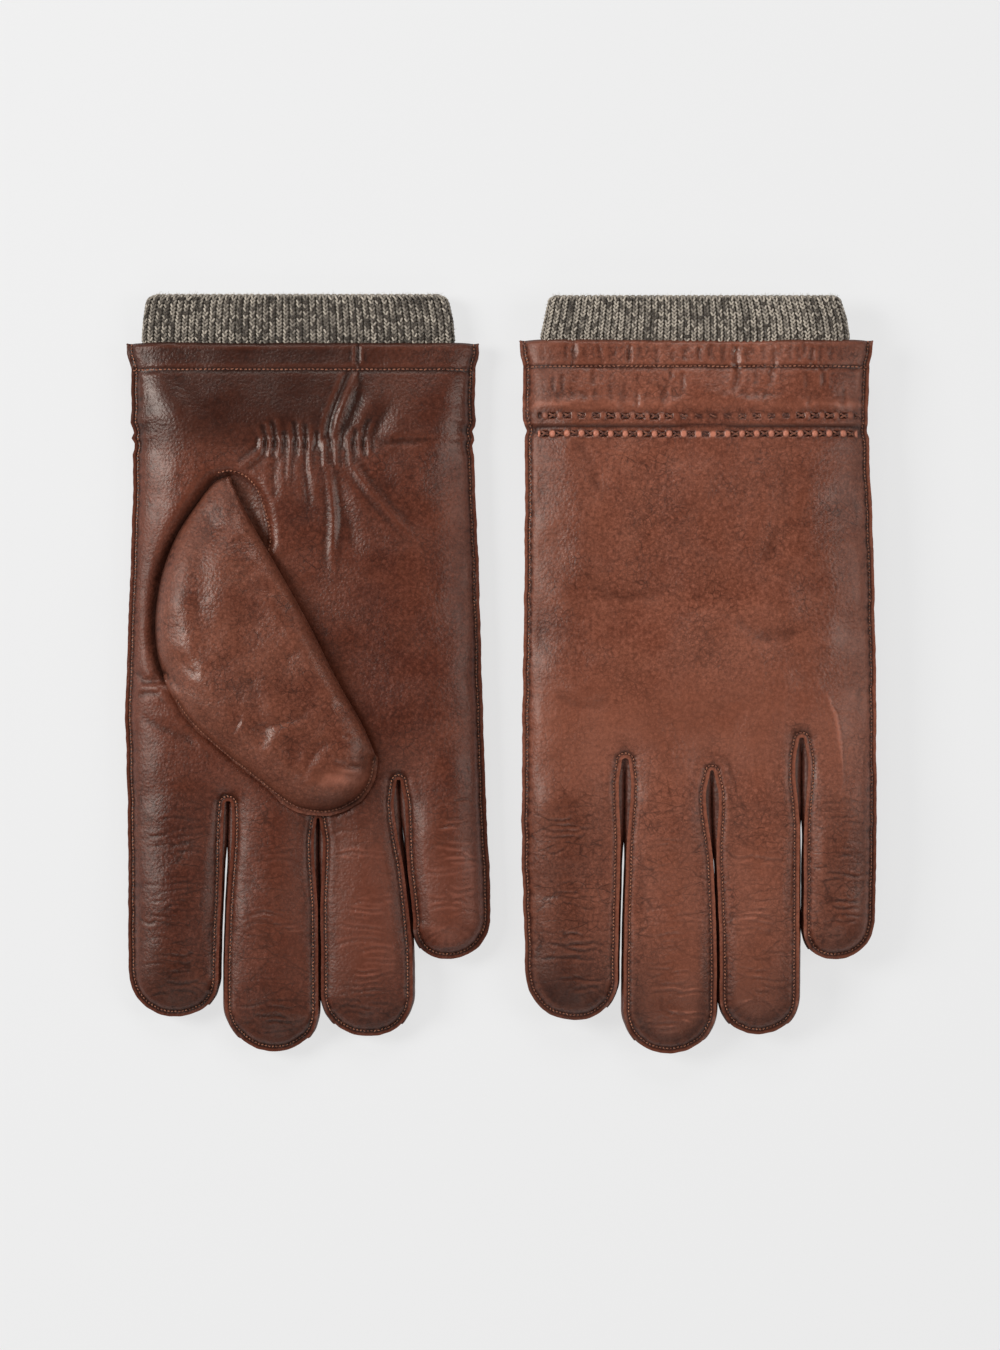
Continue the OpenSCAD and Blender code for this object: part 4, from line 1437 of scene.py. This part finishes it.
def capsules(starts, ends, radius, sides=5):
    """Many short threads as one mesh: points, triangles and the number of points in each."""
    starts, ends = np.asarray(starts, float), np.asarray(ends, float)
    n = len(starts)
    along = ends - starts
    along = along / (np.linalg.norm(along, axis=1)[:, None] + 1e-9)
    other = np.tile([0.0, 0.0, 1.0], (n, 1))
    other[np.abs(along[:, 2]) > 0.9] = (1.0, 0.0, 0.0)
    side = np.cross(along, other)
    side /= np.linalg.norm(side, axis=1)[:, None]
    up = np.cross(side, along)
    rings = []
    for end, place, wide in ((starts, -0.62, 0.62), (starts, 0.0, 1.0), (ends, 0.0, 1.0), (ends, 0.62, 0.62)):
        for k in range(sides):
            angle = 2 * math.pi * k / sides
            out = side * math.cos(angle) + up * math.sin(angle)
            rings.append(end + along * place * radius + out * radius * wide)
    rings += [starts - along * radius * 0.9, ends + along * radius * 0.9]
    points = np.stack(rings, axis=1)
    faces = []
    for ring in range(3):
        for k in range(sides):
            a = ring * sides + k
            b = ring * sides + (k + 1) % sides
            faces += [(a, b, b + sides), (a, b + sides, a + sides)]
    low, high = 4 * sides, 4 * sides + 1
    for k in range(sides):
        faces.append((low, (k + 1) % sides, k))
        faces.append((high, 3 * sides + k, 3 * sides + (k + 1) % sides))
    size = points.shape[1]
    every = (np.array(faces)[None] + (np.arange(n) * size)[:, None, None]).reshape(-1, 3)
    return points.reshape(-1, 3), every, size


def offset_line(line, offset):
    """A line beside another, without the loops that tight bends make."""
    moved = line[:, :2] + normals_of(line) * offset
    return moved[np.abs(nearest(moved, line)[0]) > offset - 0.05]


def dashes(line, pitch, fill, seed):
    """Ends of stitches along a line, slightly uneven and askew."""
    rng = np.random.RandomState(seed)
    line = resample(line, 0.2)
    s = lengths(line)
    count = int(s[-1] / pitch)
    middle = (np.arange(count) + 0.5) * s[-1] / count
    half = 0.5 * pitch * fill * rng.uniform(0.85, 1.1, count)
    side = normals_of(line)[np.searchsorted(s, middle).clip(0, len(line) - 1)]
    tilt = rng.normal(0, 0.06, count)[:, None] * side

    def at(place):
        return np.column_stack([np.interp(place, s, column) for column in line.T])

    return at(middle - half) + tilt, at(middle + half) - tilt


def on_leather(glove, half, spots, lift, details=True):
    """Places with a height a little outside the leather's surface."""
    z = surface(glove, half, Fields(glove, half, spots[:, 0], spots[:, 1]), details)
    return np.column_stack([spots, z + OUTWARDS[half] * lift])


def stitch_piece(name, label, starts, ends):
    points, faces, _ = capsules(starts, ends, STITCH_RADIUS)
    piece = mesh_object(f"{name}_{label}_stitches", to_table(name, points), facing(name, faces), THREAD)
    return piece


def half_stitches(name, half):
    """The seam stitches of one leather half, with those of each finger apart, and its hem's."""
    glove = GLOVES[name]
    line = glove[half + "_line"]
    seam = [on_leather(glove, half, spots, 0.26, False)
            for spots in dashes(offset_line(line, LIP), STITCH_PITCH, 0.34, glove["seed"])]
    fingers, free = divided(glove, half, (seam[0][:, :2] + seam[1][:, :2]) / 2)
    for f, mine in enumerate(fingers):
        piece = stitch_piece(name, f"{half}_{FINGERS[f]}", seam[0][mine], seam[1][mine])
        bend_with_finger(piece)
    hem = resample(np.array([(line[0, 0] + 1.8, HEM_STITCH_Y), (line[-1, 0] - 1.8, HEM_STITCH_Y)]), 1.0)
    hem[:, 1] += 0.12 * noise2(hem[:, 0], hem[:, 1], 6.0, 41)
    hem = [on_leather(glove, half, spots, 0.08) for spots in dashes(hem, 1.4, 0.42, glove["seed"] + 1)]
    starts, ends = (np.vstack([seam[end][free], hem[end]]) for end in (0, 1))
    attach(stitch_piece(name, f"{half}_hand", starts, ends), f"{name}_hand")


def seam_stitches(name):
    for half in ("palm", "back"):
        half_stitches(name, half)


def thumb_stitches(name):
    """The stitches along the thumb's edge and round the upper side of the palm's thumb hole."""
    path = offset_line(smooth_line(THUMB_EDGE, 0.5), 1.5)[16:]
    edge = [np.column_stack([spots, thumb_top_height(*spots.T, False) + 0.2])
            for spots in dashes(path, STITCH_PITCH, 0.30, 51)]
    bend_with_thumb(stitch_piece(name, "thumb", *edge), name, *THUMB_BEND)
    hole = [on_leather(GLOVES[name], "palm", spots, 0.15)
            for spots in dashes(smooth_line(THUMB_HOLE_SEAM, 0.5), 1.25, 0.34, 52)]
    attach(stitch_piece(name, "thumb_hole", *hole), f"{name}_hand")


def bead_rows(name):
    """Two rows of thick stitches across the back, above and below the band's seam."""
    glove = GLOVES[name]
    starts, ends = [], []
    for row, y in enumerate(BEAD_ROWS):
        x = BEAD_SPAN[0] + (np.arange(BEAD_COUNT) + 1.0 - 0.5 * row) * BEAD_PITCH
        y = y - bead_bow(x)
        for lift in (-0.58, 0.58):
            for spots, sign, share in ((starts, -1, 1.0), (ends, 1, -0.6)):
                flat = np.column_stack([x + sign * 0.90, y + lift * share])
                spots.append(on_leather(glove, "back", flat, 0.10 * np.sign(lift), False))
    points, faces, _ = capsules(np.vstack(starts), np.vstack(ends), 0.30, sides=8)
    piece = mesh_object(f"{name}_bead_rows", to_table(name, points), facing(name, faces), THICK_THREAD)
    belongs(f"{name}_bead_stitches")
    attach(piece, f"{name}_hand")


# ---------------------------------------------------------------- wrist elastic

ELASTIC_POINTS = 160
ELASTIC_ENDS = (-16.0, 23.0)
ELASTIC_HALF_WIDTH = 2.8


def elastic(name):
    """A narrow tape inside the palm half, gathered in small waves."""
    x = np.linspace(*ELASTIC_ENDS, ELASTIC_POINTS)
    z = 7.4 + 0.5 * np.cos(2 * math.pi * (x - 3.5) / 3.05)
    middle = ELASTIC_Y - 0.1
    grid = np.stack([np.column_stack([x, np.full(len(x), y), z])
                     for y in (middle - ELASTIC_HALF_WIDTH, middle, middle + ELASTIC_HALF_WIDTH)], axis=1)
    index = np.arange(grid.shape[0] * grid.shape[1]).reshape(grid.shape[:2])
    points = to_table(name, grid.reshape(-1, 3))
    faces = facing(name, grid_faces(index))
    piece = shell(f"{name}_elastic_tape", points, faces, vertex_normals(points, faces), 0.6, TAPE)
    belongs(f"{name}_wrist_elastic")
    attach(piece, f"{name}_hand")


# ---------------------------------------------------------------- knit cuffs

RIBS = 94
ROW_PITCH = 1.16
KNIT_ROUND = 197.0                          # length round the tube that the loops' widths are given for
KNIT_BOTTOM = 101.0                         # loops and fibres start above this height, inside the leather
KNIT_LOW, KNIT_HIGH = 2.9, 7.6
KNIT_SKIN = 1.7
LIGHTER = {"right": -0.17, "left": 0.04}
# Height, left edge, right edge.
KNIT_SIDES = {
    "right": [(70, -48.0, 45.0), (103, -50.2, 46.2), (106, -51.2, 47.0), (112, -50.8, 46.5),
              (118, -49.9, 45.2), (119.3, -49.2, 44.4), (121, -47.2, 42.4)],
    "left": [(70, -46.5, 46.5), (103, -47.9, 47.0), (106, -48.6, 47.8), (112, -47.3, 46.9),
             (118, -46.0, 45.0), (119.3, -45.2, 44.2), (121, -43.2, 42.2)]}


def knit_place(name, u, v, depth):
    """A point on the knit tube: u goes once round it from 0 to 1, v is the height, depth is outwards.
    It goes along the palm side, round the right edge, back along the back side and round the left."""
    table = np.array(KNIT_SIDES[name], float)
    left = np.interp(v, table[:, 0], table[:, 1])
    right = np.interp(v, table[:, 0], table[:, 2])
    half_h = (KNIT_HIGH - KNIT_LOW) / 2
    straight = right - left - 2 * half_h
    arc = math.pi * half_h
    s = (u % 1.0) * (2 * straight + 2 * arc)
    turned = (np.clip(s - straight, 0, arc) + np.clip(s - 2 * straight - arc, 0, arc)) / half_h
    x = left + half_h + np.clip(s, 0, straight) - np.clip(s - straight - arc, 0, straight)
    reach = half_h + depth
    z = (KNIT_HIGH + KNIT_LOW) / 2
    return np.column_stack([x + np.sin(turned) * reach, v, z + np.cos(turned) * reach])


def knit_base(name):
    """The soft base: up the outside, over the fold and down the inside."""
    top = KNIT_TOPS[name]
    fold = np.array([-0.9, -0.3, 0.0, -0.3, -0.9])
    heights = np.concatenate([np.linspace(KNIT_END, top - 1.6, 34), top + fold,
                              np.linspace(top - 1.6, KNIT_END, 20)])
    depth = np.concatenate([np.zeros(34), [-0.15, -0.45, -0.85, -1.25, -1.55], np.full(20, -KNIT_SKIN)])
    around = RIBS * 8
    u = np.arange(around) / around
    rib_wave = 0.38 * np.cos(2 * math.pi * u * RIBS)
    rows = []
    for v, deep in zip(heights, depth):
        wave = rib_wave * (1.0 if deep > -0.5 else 0.35) * (1 if deep > -0.85 else -1)
        rows.append(knit_place(name, u, np.full(around, v), deep - 0.15 + wave))
    index = np.arange(len(rows) * around).reshape(-1, around)
    index = np.column_stack([index, index[:, 0]])
    return np.vstack(rows), np.vstack([grid_faces(index), grid_faces(index[[-1, 0]])])


def knit_loops(name, rng):
    """Two short legs for each stitch of each rib, and loops that turn over the fold at the mouth."""
    top = KNIT_TOPS[name]
    starts, ends, tints = [], [], []
    for rib in range(RIBS):
        shift = rng.uniform(0, 1) * ROW_PITCH
        stripe = rng.uniform(0.32, 0.70) + LIGHTER[name]
        v = np.arange(top - 0.7 - shift * 0.3, KNIT_BOTTOM, -ROW_PITCH)
        for side in (-1, 1):
            jitter = rng.normal(0, 0.05, (2, len(v)))
            low_u, high_u = (rib / RIBS + (side * half + push) / KNIT_ROUND
                             for half, push in zip((0.17, 0.66), jitter))
            starts.append(knit_place(name, low_u, v - 0.54, 0.42))
            ends.append(knit_place(name, high_u, v + 0.32, 0.22))
            tints.append(np.clip(stripe - 0.13 * side + rng.normal(0, 0.36, len(v)), 0, 1))
    for rib in range(RIBS):
        for first, v, deep in [(1, top - 0.1, 0.0), (0, top + 0.25, -0.85), (0, top - 0.1, -1.7)]:
            for side in (-1, 1):
                u = np.array([rib / RIBS + side * 0.5 / KNIT_ROUND])
                starts.append(knit_place(name, u, np.array([v - 0.35 * first]), deep + 0.1 * first))
                ends.append(knit_place(name, u + side * 0.35 / KNIT_ROUND, np.array([v + 0.15]), deep - 0.45))
                tints.append(np.array([rng.uniform(0.3, 0.9)]))
    points, faces, size = capsules(np.vstack(starts), np.vstack(ends), 0.32)
    return points, faces, np.repeat(np.concatenate(tints), size)


def knit_fibres(name, rng):
    """Loose fibres that stand off the yarn, more of them at the mouth."""
    top = KNIT_TOPS[name]
    count = 2600
    u = rng.uniform(0, 1, count)
    v = rng.uniform(103.0, top + 0.4, count)
    at_top = rng.uniform(0, 1, count) < 0.30
    base = knit_place(name, u, np.where(at_top, top + 0.1, v), np.where(at_top, -0.6, 0.35))
    tip = base + rng.normal(0, 0.55, (count, 3)) * np.array([1.0, 0.8, 0.35])
    tip[:, 1] += np.where(at_top, rng.uniform(0.1, 0.5, count), 0)
    points, faces, size = capsules(base, tip, 0.035, sides=3)
    return points, faces, np.repeat(rng.uniform(0.4, 1.0, count), size)


def knit_cuff(name):
    """A ribbed tube, folded at its mouth: a soft base with a chain of loops on every rib."""
    rng = np.random.RandomState(91 + GLOVES[name]["seed"])
    points, faces = knit_base(name)
    # the base under the loops is coloured dark: painted shade between loops and ribs
    tint = np.full(len(points), 0.12)
    for more_points, more_faces, more_tint in (knit_loops(name, rng), knit_fibres(name, rng)):
        faces = np.vstack([faces, more_faces + len(points)])
        points = np.vstack([points, more_points])
        tint = np.concatenate([tint, more_tint])
    placed = to_table(name, points)
    placed[:, 2] = np.maximum(placed[:, 2], 0.15)
    piece = mesh_object(f"{name}_knit_tube", placed, facing(name, faces), KNIT, colours={"tint": tint})
    belongs(f"{name}_knit_cuff")
    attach(piece, f"{name}_hand")


for make in (fourchettes, thumb, linings, seam_stitches, thumb_stitches, bead_rows, elastic, knit_cuff):
    for glove_name in GLOVES:
        make(glove_name)

# ---------------------------------------------------------------- floor, light and camera

FLOOR_HALF = 4000.0
CAMERA_HEIGHT = 1.1933
CAMERA_LENS = 100.0
SENSOR = 36.0
WORLD_STRENGTH = 0.08
# Name, place, width and height, power.
SOFTBOXES = [("left softbox", (-1.11, 0.30, 0.90), (0.55, 0.65), 17.5),
             ("right softbox", (1.13, 0.05, 0.92), (0.65, 0.75), 6.6),
             ("near softbox", (0.0, -1.05, 0.98), (0.8, 0.5), 2.8),
             ("far softbox", (0.0, 1.15, 0.85), (0.9, 0.5), 6.4)]


def aimed(thing, direction):
    """Turns a light or the camera, and puts it in the scene."""
    thing.rotation_mode = "QUATERNION"
    thing.rotation_quaternion = Vector(direction).to_track_quat("-Z", "Y")
    bpy.context.scene.collection.objects.link(thing)


def add_floor():
    n = Nodes("pale floor")
    mottle = n.remap(n.noise(60, 2.0), 0.3, 0.7, 0.0, 0.02)
    n.finish(n.mix(mottle, (0.16, 0.16, 0.16, 1), (0.155, 0.155, 0.155, 1)), 0.9, specular=0.0)
    n.shader.inputs["Emission Color"].default_value = WHITE
    n.shader.inputs["Emission Strength"].default_value = 0.686
    z = min(0.0, cad_box[0].z / MM) - 0.02
    corners = [(x * FLOOR_HALF, y * FLOOR_HALF, z) for x, y in ((-1, -1), (1, -1), (1, 1), (-1, 1))]
    mesh_object("floor", corners, [(0, 1, 2, 3)], n.material)


def add_softbox(name, place, size, power):
    light = bpy.data.lights.new(name, "AREA")
    light.shape = "RECTANGLE"
    light.size, light.size_y = size
    light.energy = power
    lamp = bpy.data.objects.new(name, light)
    lamp.location = place
    aimed(lamp, -Vector(place))


def add_world():
    world = bpy.data.worlds.new("studio")
    world.use_nodes = True
    background = world.node_tree.nodes["Background"]
    background.inputs["Color"].default_value = WHITE
    background.inputs["Strength"].default_value = WORLD_STRENGTH
    bpy.context.scene.world = world


def add_camera():
    camera = bpy.data.cameras.new("camera")
    camera.lens = CAMERA_LENS
    camera.sensor_fit = "VERTICAL"
    camera.sensor_width = SENSOR
    camera.sensor_height = SENSOR
    thing = bpy.data.objects.new("camera", camera)
    thing.location = (0, 0, CAMERA_HEIGHT)
    aimed(thing, (0, 0, -1))
    bpy.context.scene.camera = thing


add_floor()
add_world()
for softbox in SOFTBOXES:
    add_softbox(*softbox)
add_camera()
bpy.context.scene.view_settings.view_transform = "Standard"
